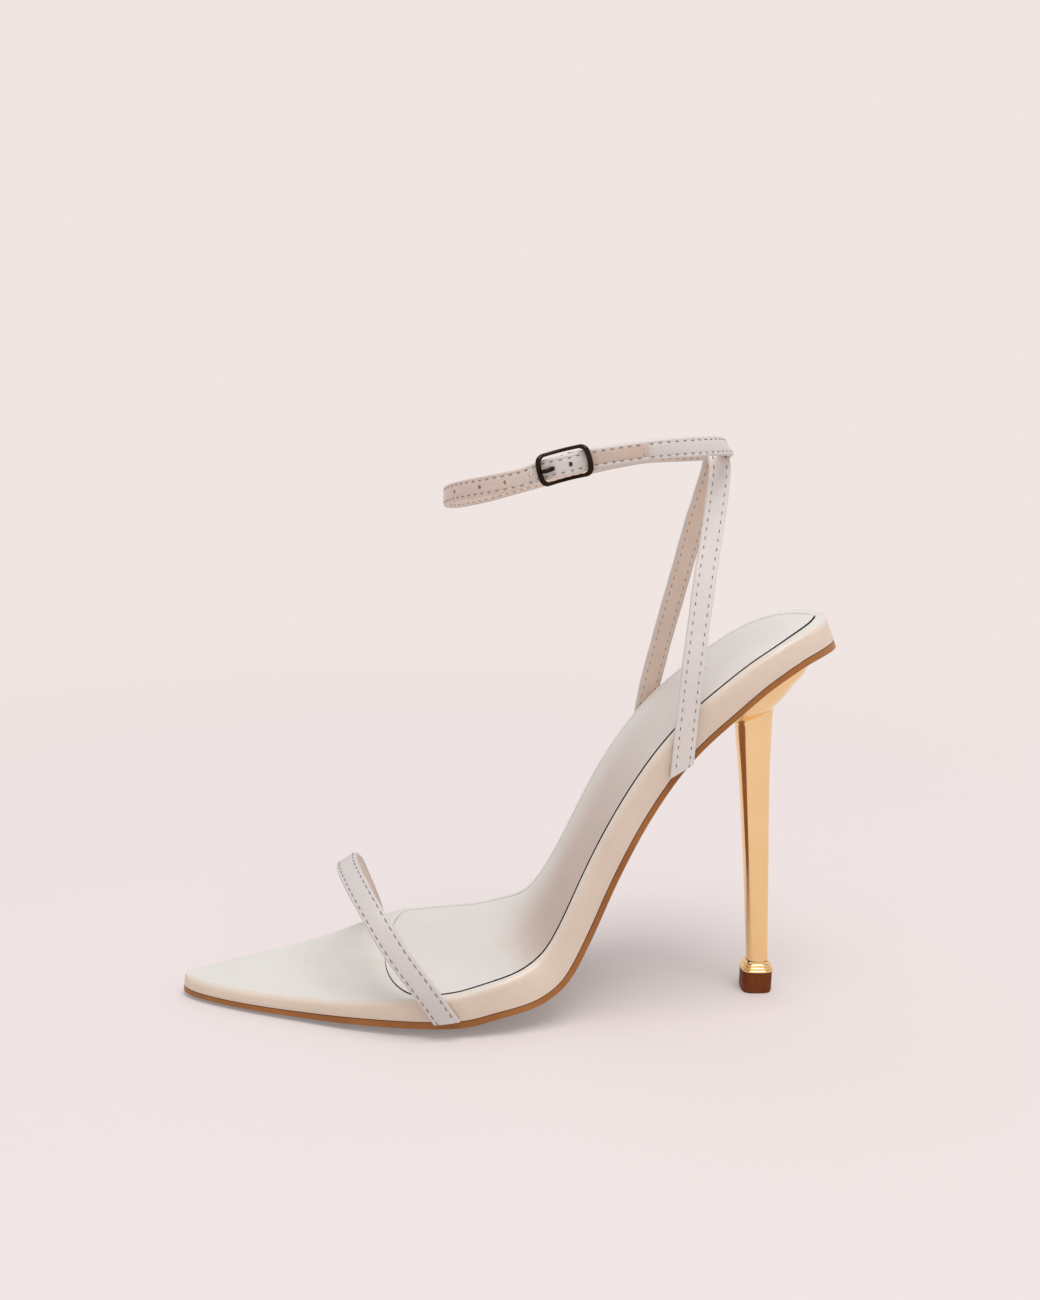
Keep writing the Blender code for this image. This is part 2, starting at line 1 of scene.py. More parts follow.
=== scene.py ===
"""Looks of the strappy heeled sandal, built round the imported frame.

Tables and sizes of the shoe are in millimetres, with x measured from the toe tip; place() turns them
to metres. Camera, room and light are in metres.
"""

import math

import bmesh
import bpy
import numpy as np
from mathutils import Matrix, Vector


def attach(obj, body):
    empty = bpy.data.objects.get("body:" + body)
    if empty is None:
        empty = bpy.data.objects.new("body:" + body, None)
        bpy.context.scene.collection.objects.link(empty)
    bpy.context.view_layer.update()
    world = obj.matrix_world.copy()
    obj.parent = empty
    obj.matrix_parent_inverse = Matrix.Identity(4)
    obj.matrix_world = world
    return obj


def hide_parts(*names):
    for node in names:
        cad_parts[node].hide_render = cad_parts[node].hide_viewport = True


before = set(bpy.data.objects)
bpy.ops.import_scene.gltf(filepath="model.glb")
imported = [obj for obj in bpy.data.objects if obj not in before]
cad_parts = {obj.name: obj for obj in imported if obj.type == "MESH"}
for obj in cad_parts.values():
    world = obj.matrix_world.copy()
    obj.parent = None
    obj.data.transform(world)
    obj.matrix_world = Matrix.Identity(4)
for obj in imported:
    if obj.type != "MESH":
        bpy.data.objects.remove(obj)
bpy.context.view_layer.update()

MM = 0.001
LENGTH = 214.0
MIDDLE_X = LENGTH / 2
MIDDLE_Y = 1.74
GAP = 0.3
SOLE_SEAM_GAP = 0.18

# z is the outsole's lower face in the middle, outer and inner are the half widths, the lifts are the rise
# from the flat middle to each edge, and sole and bed are the thickness of the outsole and the platform.
SOLE_COLUMNS = ("x", "z", "outer", "inner", "outer_lift", "inner_lift", "sole", "bed")
SOLE_ROWS = (
    (0, 1.6, 0.0, 0.0, 0.0, 0.0, 1.8, 4.0),
    (4, 1.2, 5.2, 5.4, 0.1, 0.1, 1.8, 4.0),
    (12, 0.9, 10.0, 11.4, 0.3, 0.3, 1.8, 4.0),
    (24, 0.6, 15.6, 18.0, 0.6, 0.6, 1.9, 4.0),
    (40, 0.3, 22.0, 26.0, 1.2, 1.3, 2.1, 4.2),
    (58, 0.0, 28.8, 34.4, 2.2, 3.5, 2.5, 5.0),
    (76, 0.0, 33.4, 39.4, 2.8, 5.2, 3.0, 6.4),
    (92, 0.5, 35.0, 39.6, 2.9, 4.4, 3.1, 7.6),
    (106, 3.8, 33.9, 37.0, 2.6, 3.2, 2.9, 8.4),
    (118, 7.6, 30.8, 33.4, 1.9, 4.0, 2.6, 8.9),
    (127, 14.6, 28.2, 30.8, 1.5, 3.1, 2.3, 9.1),
    (134, 28.6, 26.6, 28.8, 1.2, 0.9, 2.2, 9.2),
    (142, 48.6, 25.4, 27.0, 1.0, -0.2, 2.2, 9.2),
    (152, 69.6, 24.7, 25.8, 0.8, 0.4, 2.2, 9.0),
    (164, 88.0, 24.5, 25.0, 0.8, 0.6, 2.2, 8.6),
    (178, 102.2, 24.4, 24.6, 0.8, 0.4, 2.2, 8.2),
    (192, 113.8, 22.8, 22.8, 0.8, 0.2, 2.3, 7.8),
    (204, 120.2, 17.6, 17.6, 0.6, 0.0, 2.5, 7.3),
    (211, 122.0, 9.8, 9.8, 0.3, 0.0, 2.6, 6.9),
    (LENGTH, 122.5, 0.0, 0.0, 0.0, 0.0, 2.6, 6.8),
)
FLAT_SHARE = 0.42
RIM_RADIUS = 2.1
# thin is the outsole's share of its table thickness, drop lowers it, and near_thin lowers the platform's
# upper edge on the outer side.
TRIM_COLUMNS = ("x", "thin", "drop", "near_thin")
TRIM_ROWS = (
    (0, 1.0, 0.0, 0.0),
    (48, 1.0, 0.0, 0.0),
    (80, 0.83, 0.0, 0.0),
    (104, 0.83, 0.0, -0.3),
    (112, 0.86, 0.25, -0.4),
    (119, 0.90, 0.5, -0.4),
    (126, 0.92, 0.8, 0.7),
    (133, 0.93, 0.9, 1.7),
    (150, 0.93, 0.9, 1.8),
    (162, 0.93, 0.9, 1.3),
    (174, 0.92, 0.85, 0.5),
    (200, 0.91, 0.8, 0.9),
    (LENGTH, 0.90, 0.75, 0.8),
)
SOLE_SOFT, TRIM_SOFT = 1.6, 3.0
LEAST_HALF_SQUARED = 0.3
OUTSOLE_TUCK = 0.25
BED_BULGE = 0.12
TOP_ROUNDING = {"outer": 4.0, "inner": 5.5}
ROUNDING_FROM, ROUNDING_FADE = 60, 30
BACK_LEAN_FROM, BACK_LEAN = 198.0, 0.25

SOCK_FRONT = 67.5
SOCK_BACK = LENGTH - 4.0
SOCK_INSET = 3.2
SOCK_DEPTH = 1.3
SOCK_PROUD = 0.34
SOCK_CROWN = 0.5
SOCK_FRONT_ROUND = {"outer": 13.0, "inner": 7.0}
SOCK_BACK_ROUND = 20.0
SOCK_BACK_POWER = 2.6
SOCK_CROWN_RUN = 12
SOCK_SOFT_RUN = 0.5
SOCK_EDGE_ROUND = 0.14
SOCK_SUNK = 0.12
GROOVE = 0.6
GROOVE_BALL_PART, GROOVE_ARCH_PART = 0.55, 0.45
GROOVE_WIDENS_FROM, GROOVE_WIDENS_OVER = 95, 25
FAR_GROOVE = 0.2
FRONT_GROOVE_SHARE = 0.5
LIP_MARGIN = 0.12
LIP_ROUND = 0.18
# Each crease: x, slant across the sock, width, depth.
CREASES = ((108.0, 0.10, 1.3, 0.05), (113.5, 0.02, 1.0, 0.08), (118.0, -0.05, 1.2, 0.06))
# Painted shade on the sock over the arch: where its darker, warmer tone rises and falls along x.
ARCH_SHADE_FROM, ARCH_SHADE_RISE = 102, 32
ARCH_SHADE_TO, ARCH_SHADE_FALL = 180, 44

STRAP_THICK = 1.9
TOE_STRAP_WIDTH = 7.4
HEEL_STRAP_WIDTH = 7.0
ANKLE_STRAP_WIDTH = 6.0
ANKLE_STRAP_THICK = 1.7
TOE_STITCH_INSET, HEEL_STITCH_INSET, ANKLE_STITCH_INSET = 1.15, 1.45, 1.05
STITCH_WIDE, STITCH_HIGH = 0.28, 0.24
STITCH_PROUD = 0.04
# Each section of a stitch: share of its half length, growth, share of its lift.
STITCH_SHAPE = (
    (-1.0, 0.45, -0.6), (-0.72, 0.9, 0.25), (0.0, 1.0, 0.6), (0.72, 0.9, 0.25), (1.0, 0.45, -0.6),
)

# x, y as a share of the foot's reach on its side, z, y part of the width direction
TOE_ROWS = (
    (87.6, -1.0, 6.4, 0.00),
    (80.3, -1.01, 17.5, 0.02),
    (72.0, -0.945, 28.5, 0.08),
    (65.0, -0.78, 38.0, 0.16),
    (59.3, -0.50, 44.0, 0.24),
    (55.4, -0.13, 46.2, 0.28),
    (54.8, 0.14, 45.2, 0.30),
    (56.6, 0.40, 39.0, 0.30),
    (59.4, 0.69, 26.5, 0.29),
    (62.0, 0.93, 15.0, 0.28),
    (63.4, 1.0, 7.6, 0.28),
)
TOE_WIDE_X, TOE_WIDE_Z = 0.85, 0.47

# x, y as a share of the foot's reach on its side, z
HEEL_STRAP_ROWS = (
    (160.8, -1.0, 86.2),
    (161.8, -1.0, 102.0),
    (163.4, -0.95, 122.0),
    (166.5, -0.72, 144.0),
    (170.3, -0.40, 164.0),
    (172.5, -0.17, 176.8),
    (172.5, -0.105, 181.2),
    (172.2, 0.0, 183.6),
    (172.1, 0.105, 181.2),
    (171.6, 0.17, 176.8),
    (168.6, 0.39, 161.0),
    (165.0, 0.68, 139.0),
    (161.2, 0.93, 117.0),
    (157.4, 1.0, 97.0),
    (155.6, 1.0, 82.0),
)
FOOT_REACH = 4.0
# Each foot: at the line's end or not, its cut's rise over run, length over which the cut fades.
TOE_FEET = ((False, 0.12, 9.0), (True, 0.05, 9.0))
HEEL_STRAP_FEET = ((False, 0.67, 14.0), (True, 0.67, 14.0))
CURVE_STEPS = 20
STRAP_SPACING, ANKLE_SPACING = 0.7, 0.8

# x, y, z, lean of the width direction towards the toe
ANKLE_ROWS = (
    (122.3, -27.5, 182.3, 0.0),
    (134.0, -26.9, 184.0, 0.0),
    (148.0, -26.3, 186.4, 0.08),
    (161.0, -22.6, 187.2, 0.3),
    (170.6, -14.0, 186.8, 0.5),
    (174.6, -3.0, 185.2, 0.7),
    (173.2, 9.0, 183.4, 0.5),
    (165.4, 19.5, 182.0, 0.3),
    (152.0, 25.8, 180.4, 0.08),
    (134.0, 27.4, 176.4, 0.0),
    (114.0, 26.4, 170.8, 0.0),
    (98.0, 21.0, 167.0, 0.0),
    (89.2, 11.0, 166.6, 0.0),
    (86.6, -1.0, 168.8, 0.0),
    (90.0, -13.6, 171.8, 0.0),
    (98.6, -22.6, 174.6, 0.0),
    (108.0, -27.0, 177.2, 0.0),
    (114.4, -28.5, 179.9, 0.0),
    (120.4, -30.1, 181.6, 0.0),
    (126.6, -29.2, 183.2, 0.0),
    (135.0, -29.1, 184.8, 0.0),
    (145.8, -28.7, 186.4, 0.0),
)
HOLES_X = (89.6, 96.8, 104.1, 110.9, 117.1, 122.2)
HOLE_RADIUS, PRONG_HOLE_RADIUS = 0.65, 0.75
LAST_RUN = 0.62
FREE_END_FROM = 128.0
FREE_END_FACES = range(3, 11)
# Painted shade over the ankle strap's front, fading out towards the back.
ANKLE_FRONT_SHADE_FROM, ANKLE_FRONT_SHADE_OVER = 118, 16

BUCKLE_X = 120.4
BUCKLE_LONG, BUCKLE_TALL = 15.4, 10.0
BUCKLE_INSET = 1.3
BUCKLE_WIRE = 1.1
BUCKLE_SIDE_WIDE = 1.65
BUCKLE_BULGE = 0.6
BUCKLE_CORNER = 1.7
BUCKLE_SIDE_OUT = 0.6
BUCKLE_BAR_HALF, BUCKLE_BAR_RADIUS = 2.9, 0.5
PRONG_WIRE = 1.4
# Distance in front of the middle bar, distance out from the strap's middle
PRONG_ROWS = (
    (1.3, -2.0),
    (2.5, -2.2),
    (3.2, -1.75),
    (3.45, -0.6),
    (3.65, 0.6),
    (4.3, 1.5),
    (5.6, 2.1),
    (7.2, 2.2),
)

# x and z of the front, x and z of the back, half width
HEEL_ROWS = (
    (191.0, 11.2, 198.2, 11.2, 3.7),
    (189.2, 34.0, 197.2, 34.0, 4.0),
    (186.9, 58.5, 196.0, 58.5, 4.6),
    (184.8, 78.5, 195.1, 79.0, 5.3),
    (183.4, 89.0, 194.9, 92.0, 6.2),
    (182.4, 95.8, 194.9, 101.8, 7.4),
    (179.6, 96.2, 195.4, 102.6, 9.2),
    (178.0, 97.2, 196.4, 103.8, 10.8),
    (176.4, 100.4, 199.0, 107.6, 13.8),
    (175.2, 104.2, 201.6, 112.0, 17.0),
    (174.4, 109.6, 204.4, 116.0, 19.6),
    (174.0, 115.0, 205.2, 121.0, 20.4),
)
STEM_TOP_ROW = 5
HEEL_CORNER = 2.4
HEEL_STEP = 0.04
STEM_SOFT, SEAT_SOFT = 0.3, 0.22
SEAT_CUT_FROM, SEAT_CUT_WIDER, SEAT_CUT_HIGH = 160, 1.3, 24

TIP_X = (HEEL_ROWS[0][0] + HEEL_ROWS[0][2]) / 2
TIP_LONG, TIP_WIDE, TIP_HIGH = 10.4, 9.6, 7.4
RING_BOTTOM, RING_TOP = 7.6, 10.95
RING_CORNER, TIP_CORNER = 3.2, 3.6
# Height over the bottom and share of the tip's size
RING_STEPS = (
    (0.0, 1.02), (0.12, 1.05), (0.62, 1.055), (0.75, 1.03), (0.85, 0.945), (0.95, 0.94),
    (1.05, 0.96), (1.5, 0.965), (1.62, 0.94), (1.75, 0.85), (1.85, 0.845), (1.95, 0.865),
    (2.4, 0.865), (2.55, 0.84), (2.7, 0.76), (RING_TOP - RING_BOTTOM, 0.71),
)
TIP_STEPS = (
    (0.0, 0.93), (0.1, 0.955), (0.3, 0.975), (0.7, 0.992),
    (1.3, 1.0), (7.0, 1.0), (7.25, 0.99), (TIP_HIGH, 0.965),
)

CAMERA_AT = (-0.028655, -0.46674, 0.222)
CAMERA_RIGHT = (0.99766034, -0.06523543, 0.02044955)
CAMERA_UP = (-0.00585, 0.21656305, 0.97625111)
CAMERA_BACK = (-0.06811477, -0.97408664, 0.21567474)
FOCAL_PIXELS, FRAME_HEIGHT = 1472.03, 1300
SENSOR = 36.0


def place(x, y, z):
    return Vector(((x - MIDDLE_X) * MM, (y - MIDDLE_Y) * MM, z * MM))


# Materials


def new_material(name):
    """A material, its nodes' tree, its shader and the point in the object's own space."""
    made = bpy.data.materials.new(name)
    made.use_nodes = True
    tree = made.node_tree
    point = tree.nodes.new("ShaderNodeTexCoord").outputs["Object"]
    return made, tree, tree.nodes["Principled BSDF"], point


def node(tree, kind, **sockets):
    made = tree.nodes.new(kind)
    for name, value in sockets.items():
        made.inputs[name.replace("_", " ")].default_value = value
    return made


def noise(tree, point, scale, detail=3.0, roughness=0.5):
    made = node(tree, "ShaderNodeTexNoise", Scale=scale, Detail=detail, Roughness=roughness)
    tree.links.new(point, made.inputs["Vector"])
    return made.outputs["Fac"]


def pores(tree, point, scale):
    made = node(tree, "ShaderNodeTexVoronoi", Scale=scale)
    tree.links.new(point, made.inputs["Vector"])
    return made.outputs["Distance"]


def ramp(tree, value, stops):
    made = tree.nodes.new("ShaderNodeValToRGB")
    band = made.color_ramp
    while len(band.elements) < len(stops):
        band.elements.new(0.5)
    for spot, (at, colour) in zip(band.elements, stops):
        spot.position = at
        spot.color = (*colour, 1.0)
    tree.links.new(value, made.inputs["Fac"])
    return made.outputs["Color"]


def between(tree, value, dark, light):
    """The tone from dark to light over the middle of a noise."""
    return ramp(tree, value, ((0.3, dark), (0.7, light)))


def mixed(tree, share, first, second):
    """A colour between two, each plain or linked, by a linked share."""
    made = tree.nodes.new("ShaderNodeMix")
    made.data_type = "RGBA"
    tree.links.new(share, made.inputs[0])
    for socket, colour in ((made.inputs[6], first), (made.inputs[7], second)):
        if isinstance(colour, tuple):
            socket.default_value = (*colour, 1.0)
        else:
            tree.links.new(colour, socket)
    return made.outputs[2]


def spread(tree, value, low, high):
    made = node(tree, "ShaderNodeMapRange")
    made.inputs["To Min"].default_value = low
    made.inputs["To Max"].default_value = high
    tree.links.new(value, made.inputs["Value"])
    return made.outputs["Result"]


def bump(tree, layers):
    """Bump nodes one on the other; layers are height, strength and distance in metres."""
    last = None
    for height, strength, distance in layers:
        made = node(tree, "ShaderNodeBump", Strength=strength, Distance=distance)
        tree.links.new(height, made.inputs["Height"])
        if last:
            tree.links.new(last, made.inputs["Normal"])
        last = made.outputs["Normal"]
    return last


def leather(name, dark, light, rough, grain=1900.0, depth=0.5, coat=0.0, crease=0.35, shine=0.5, side=None):
    """Fine-pored leather with cloudy tone, small creases and uneven gloss.

    shine is the specular level. side is a dark and a light tone of painted light and shade that take over
    where the mesh's attribute of that name is 1.
    """
    made, tree, shader, point = new_material(name)
    cloud = noise(tree, point, 45.0, 4.0, 0.6)
    tone = between(tree, cloud, dark, light)
    if side:
        # The mesh's side attribute marks where a tone of painted light and shade replaces the leather's own
        # tone.
        share = tree.nodes.new("ShaderNodeAttribute")
        share.attribute_name = "side"
        tone = mixed(tree, share.outputs["Fac"], tone, between(tree, cloud, *side))
    tree.links.new(tone, shader.inputs["Base Color"])
    pore = pores(tree, point, grain)
    fine = noise(tree, point, grain * 1.7, 2.0)
    wide = noise(tree, point, 260.0, 3.0)
    normal = bump(tree, ((wide, crease, 0.0004), (pore, depth, 0.00008), (fine, depth * 0.5, 0.00004)))
    tree.links.new(normal, shader.inputs["Normal"])
    tree.links.new(spread(tree, fine, rough - 0.06, rough + 0.08), shader.inputs["Roughness"])
    shader.inputs["Specular IOR Level"].default_value = shine
    shader.inputs["Coat Weight"].default_value = coat
    shader.inputs["Coat Roughness"].default_value = 0.3
    return made


def metal(name, dark, light, rough, scratch=0.05):
    """Plated metal with faint cloudiness in its tone and gloss and very fine polishing marks."""
    made, tree, shader, point = new_material(name)
    cloud = noise(tree, point, 60.0, 3.0)
    tree.links.new(between(tree, cloud, dark, light), shader.inputs["Base Color"])
    shader.inputs["Metallic"].default_value = 1.0
    marks = noise(tree, point, 3500.0, 2.0)
    tree.links.new(bump(tree, ((marks, scratch, 0.00002),)), shader.inputs["Normal"])
    gloss = spread(tree, noise(tree, point, 300.0), rough * 0.8, rough * 1.3)
    tree.links.new(gloss, shader.inputs["Roughness"])
    return made


def thread(name, dark, light):
    """Twisted sewing thread, its dark tone partly painted shade of the pits the stitches sink into."""
    made, tree, shader, point = new_material(name)
    tone = between(tree, noise(tree, point, 900.0), dark, light)
    tree.links.new(tone, shader.inputs["Base Color"])
    wave = node(tree, "ShaderNodeTexWave", Scale=2600.0, Distortion=1.5)
    tree.links.new(point, wave.inputs["Vector"])
    tree.links.new(bump(tree, ((wave.outputs["Fac"], 0.5, 0.00006),)), shader.inputs["Normal"])
    shader.inputs["Roughness"].default_value = 0.75
    return made


def plastic(name, dark, light, rough):
    """Hard moulded tip, scuffed towards matt."""
    made, tree, shader, point = new_material(name)
    tone = between(tree, noise(tree, point, 220.0, 4.0), dark, light)
    tree.links.new(tone, shader.inputs["Base Color"])
    scuff = noise(tree, point, 1500.0, 3.0)
    tree.links.new(bump(tree, ((scuff, 0.25, 0.00005),)), shader.inputs["Normal"])
    gloss = spread(tree, noise(tree, point, 500.0), rough, rough + 0.15)
    tree.links.new(gloss, shader.inputs["Roughness"])
    shader.inputs["Specular IOR Level"].default_value = 0.12
    return made


IVORY = leather("ivory_leather", (0.655, 0.61, 0.58), (0.70, 0.655, 0.63), 0.42, coat=0.1)
# A darker copy of the ivory leather for the toe strap: painted shade that evens out the light it gets facing
# up.
TOE_IVORY_PAINTED_SHADE = leather("ivory_toe_leather_painted_shade", (0.565, 0.525, 0.505), (0.605, 0.565, 0.545), 0.42, coat=0.1)
# A darker copy of the ivory leather for the ankle strap, painted shade; its side tone is further painted
# shade, warmer and darker, over the strap's front.
ANKLE_IVORY_PAINTED_SHADE = leather(
    "ivory_ankle_leather_painted_shade", (0.61, 0.57, 0.54), (0.655, 0.61, 0.585), 0.42, coat=0.1,
    side=((0.57, 0.46, 0.40), (0.64, 0.53, 0.47)),
)
# The wrap's side tone is painted light and shade: the platform's sides and the rim's outer part are warmer
# and darker than its top.
WRAP = leather(
    "ivory_wrap_leather", (0.65, 0.63, 0.585), (0.70, 0.68, 0.64), 0.38, coat=0.18,
    side=((0.64, 0.525, 0.425), (0.695, 0.58, 0.48)),
)
# The sock's side tone is painted shade over the arch.
SOCK = leather(
    "sock_leather", (0.645, 0.615, 0.58), (0.69, 0.665, 0.63), 0.46, grain=2400.0, depth=0.35, coat=0.05,
    side=((0.49, 0.39, 0.33), (0.53, 0.43, 0.37)),
)
LINING = leather("tan_pink_lining", (0.63, 0.50, 0.415), (0.72, 0.59, 0.50), 0.6, grain=2600.0, depth=0.3)
PALE_LINING = leather(
    "pale_pink_lining", (0.72, 0.585, 0.495), (0.80, 0.67, 0.58), 0.6, grain=2600.0, depth=0.3
)
# Edge paint of the straps; on the sock's inner wall the same darker tone is painted shade in the groove.
EDGE_PAINT_AND_GROOVE_SHADE = leather("strap_edge_paint_and_groove_shade", (0.55, 0.495, 0.465), (0.62, 0.565, 0.535), 0.5, grain=3000.0, depth=0.2)
# A darker beige copy of the strap leather for the free end: painted shade.
FREE_END_PAINTED_SHADE = leather("strap_end_painted_shade", (0.50, 0.39, 0.325), (0.60, 0.48, 0.405), 0.5, grain=2100.0, depth=0.6)
SEAM_DARK = leather(
    "seam_shadow_leather", (0.026, 0.014, 0.010), (0.042, 0.024, 0.018), 0.9, depth=0.2, shine=0.0
)
# Painted shadow: dark brown on the outsole's top face and the platform's underside, darkening the slit
# between them.
SOLE_SLIT_SHADOW = leather(
    "sole_slit_shadow_leather", (0.15, 0.052, 0.018), (0.20, 0.075, 0.026), 0.9, depth=0.2, shine=0.0
)
SOLE_EDGE = leather(
    "brown_sole_edge", (0.27, 0.098, 0.024), (0.37, 0.145, 0.038), 0.36,
    grain=1200.0, depth=0.25, shine=0.25,
)
SOLE_UNDER = leather(
    "brown_sole_underside", (0.26, 0.11, 0.045), (0.35, 0.165, 0.075), 0.45, grain=1500.0, depth=0.35
)
GOLD = metal("gold_plating", (0.93, 0.63, 0.31), (0.97, 0.69, 0.37), 0.12)
DARK_METAL = metal("dark_gunmetal", (0.014, 0.008, 0.006), (0.052, 0.029, 0.018), 0.24, 0.1)
HOLE_DARK = leather("hole_shadow", (0.10, 0.075, 0.06), (0.17, 0.13, 0.11), 0.8, depth=0.2)
# Lighter pinkish hole walls: painted light standing in for the light seen through the holes.
HOLE_SIDE_PAINTED_LIGHT = leather("hole_side_painted_light", (0.55, 0.40, 0.35), (0.64, 0.49, 0.43), 0.8, depth=0.2)
# Dark grey thread: partly the thread, partly painted shade of the stitch pits.
THREAD_AND_PIT_SHADE = thread("stitch_thread_and_pit_shade", (0.13, 0.115, 0.115), (0.23, 0.205, 0.20))
TIP = plastic("brown_tip_plastic", (0.125, 0.030, 0.006), (0.18, 0.045, 0.010), 0.34)


# Tables and curves


def column(rows, index):
    return np.array([row[index] for row in rows], float)


def smooth(knots, values, at):
    """A cubic through the knots that adds no bump of its own and stays level between equal values."""
    step = np.diff(knots)
    rise = np.diff(values) / step
    slope = np.zeros_like(values)
    same_way = rise[:-1] * rise[1:] > 0
    ahead, behind = 2 * step[1:] + step[:-1], step[1:] + 2 * step[:-1]
    safe = np.where(same_way, rise[:-1] * rise[1:], 1.0)
    mean = (ahead + behind) * safe / (ahead * rise[1:] + behind * rise[:-1] + (~same_way))
    slope[1:-1] = np.where(same_way, mean, 0.0)
    slope[0], slope[-1] = rise[0], rise[-1]
    at = np.clip(at, knots[0], knots[-1])
    i = np.clip(np.searchsorted(knots, at, side="right") - 1, 0, len(step) - 1)
    t = (at - knots[i]) / step[i]
    return (
        values[i] * (1 + 2 * t) * (1 - t) ** 2
        + values[i + 1] * t**2 * (3 - 2 * t)
        + step[i] * (slope[i] * t * (1 - t) ** 2 - slope[i + 1] * t**2 * (1 - t))
    )


def blurred(values, spacing, width):
    """Values at an even spacing, smoothed over a width, with straight run-outs at both ends."""
    reach = int(3 * width / spacing)
    weight = np.exp(-0.5 * (np.arange(-reach, reach + 1) * spacing / width) ** 2)
    before = values[0] - (values[1] - values[0]) * np.arange(reach, 0, -1)
    after = values[-1] + (values[-1] - values[-2]) * np.arange(1, reach + 1)
    return np.convolve(np.concatenate([before, values, after]), weight / weight.sum(), "valid")


def run_lengths(points):
    """The distance along a line at each of its points."""
    return np.concatenate([[0], np.cumsum(np.linalg.norm(np.diff(points, axis=0), axis=1))])


FINE = 0.25
FINE_X = np.arange(0, LENGTH + FINE / 2, FINE)
HALF_WIDTHS = ("outer", "inner")
SOLE = {}
for rows, names, soft in ((SOLE_ROWS, SOLE_COLUMNS, SOLE_SOFT), (TRIM_ROWS, TRIM_COLUMNS, TRIM_SOFT)):
    for index, name in enumerate(names[1:], 1):
        values = column(rows, index)
        if name in HALF_WIDTHS:
            values = values**2
        SOLE[name] = blurred(smooth(column(rows, 0), values, FINE_X), FINE, soft)


def sole_value(name, x):
    """A column's value at x. The half widths are kept squared, which rounds the toe and the back."""
    value = float(np.interp(x, FINE_X, SOLE[name]))
    return math.sqrt(max(value, LEAST_HALF_SQUARED)) if name in HALF_WIDTHS else value


def sole_point(x, across, height):
    behind, ahead = min(x + 0.5, LENGTH), max(x - 0.5, 0)
    slope = (sole_value("z", behind) - sole_value("z", ahead)) / (behind - ahead)
    run = math.hypot(1, slope)
    lean = BACK_LEAN * (max(x - BACK_LEAN_FROM, 0) / (LENGTH - BACK_LEAN_FROM)) ** 2
    return place(x - height * (slope / run + lean), across, sole_value("z", x) + height / run)


def stations(first, last, count, crowding):
    """Places along x, even along the sole's curve apart from crowding towards both ends."""
    fine = np.linspace(first, last, 2000)
    level = np.interp(fine, FINE_X, SOLE["z"])
    length = np.concatenate([[0], np.cumsum(np.hypot(np.diff(fine), np.diff(level)))])
    share = np.linspace(0, 1, count)
    share = share - crowding * np.sin(2 * math.pi * share) / (2 * math.pi)
    return [float(x) for x in np.interp(share * length[-1], length, fine)]


def edge_lift(x, share):
    lift = sole_value("outer_lift" if share < 0 else "inner_lift", x)
    return lift * (max(abs(share) - FLAT_SHARE, 0) / (1 - FLAT_SHARE)) ** 2


def half(x, share):
    return sole_value("outer" if share < 0 else "inner", x)


def sole_height(x):
    """Height of the outsole's upper face over the table's line; its lower face is at the drop below it."""
    return sole_value("sole", x) * sole_value("thin", x) - sole_value("drop", x)


def inner_share(x, y):
    left, right = -sole_value("outer", x), sole_value("inner", x)
    return (y - left) / (right - left)


def bed_top(x, y):
    base = sole_value("sole", x) + GAP + sole_value("bed", x)
    outer = base + sole_value("outer_lift", x) - sole_value("near_thin", x)
    inner = base + sole_value("inner_lift", x)
    return outer + (inner - outer) * inner_share(x, y)


def top_shifts(side, sign):
    """How far rounding the platform's upper line along the shoe moves its points, in x and z."""
    line = []
    for x in FINE_X:
        y = sign * sole_value(side, x)
        line.append(sole_point(x, y, bed_top(x, y)))
    line = np.array(line)[:, (0, 2)] / MM
    length = run_lengths(line)
    at = np.linspace(0, length[-1], int(length[-1] / 0.5))
    round_line = [blurred(np.interp(at, length, line[:, k]), at[1], TOP_ROUNDING[side]) for k in (0, 1)]
    fade = np.clip(np.minimum(FINE_X - ROUNDING_FROM, LENGTH - FINE_X) / ROUNDING_FADE, 0, 1)
    return [(np.interp(length, at, round_line[k]) - line[:, k]) * fade for k in (0, 1)]


SHIFTS = {"outer": top_shifts("outer", -1), "inner": top_shifts("inner", 1)}


def bed_point(x, y, height):
    """A point of the platform, carried along with its rounded upper line by its share of the height."""
    share = min(max(inner_share(x, y), 0), 1)
    part = min(max(height / bed_top(x, y), 0), 1) ** 2
    shift = []
    for outer, inner in zip(SHIFTS["outer"], SHIFTS["inner"]):
        shift.append(part * ((1 - share) * np.interp(x, FINE_X, outer) + share * np.interp(x, FINE_X, inner)))
    return sole_point(x, y, height) + Vector((shift[0] * MM, 0, shift[1] * MM))


def eased(value):
    value = min(max(value, 0), 1)
    return value * value * (3 - 2 * value)


def catmull(rows, steps=CURVE_STEPS):
    """A curve through the rows, with this many points from each row to the next."""
    points = [np.array(row, float) for row in rows]
    out = []
    for i in range(len(points) - 1):
        b, c = points[i], points[i + 1]
        a = points[i - 1] if i else b * 2 - c
        d = points[i + 2] if i + 2 < len(points) else c * 2 - b
        for k in range(steps):
            t = k / steps
            bend = (a * 2 - b * 5 + c * 4 - d) * t**2 + (b * 3 - a - c * 3 + d) * t**3
            out.append((b * 2 + (c - a) * t + bend) / 2)
    return np.array(out + [points[-1]])


def even(points, spacing):
    """The same line with its points an even distance apart; extra columns go along."""
    length = run_lengths(points[:, :3])
    at = np.linspace(0, length[-1], max(int(round(length[-1] / spacing)), 2) + 1)
    return np.stack([np.interp(at, length, points[:, k]) for k in range(points.shape[1])], axis=1)


# Meshes


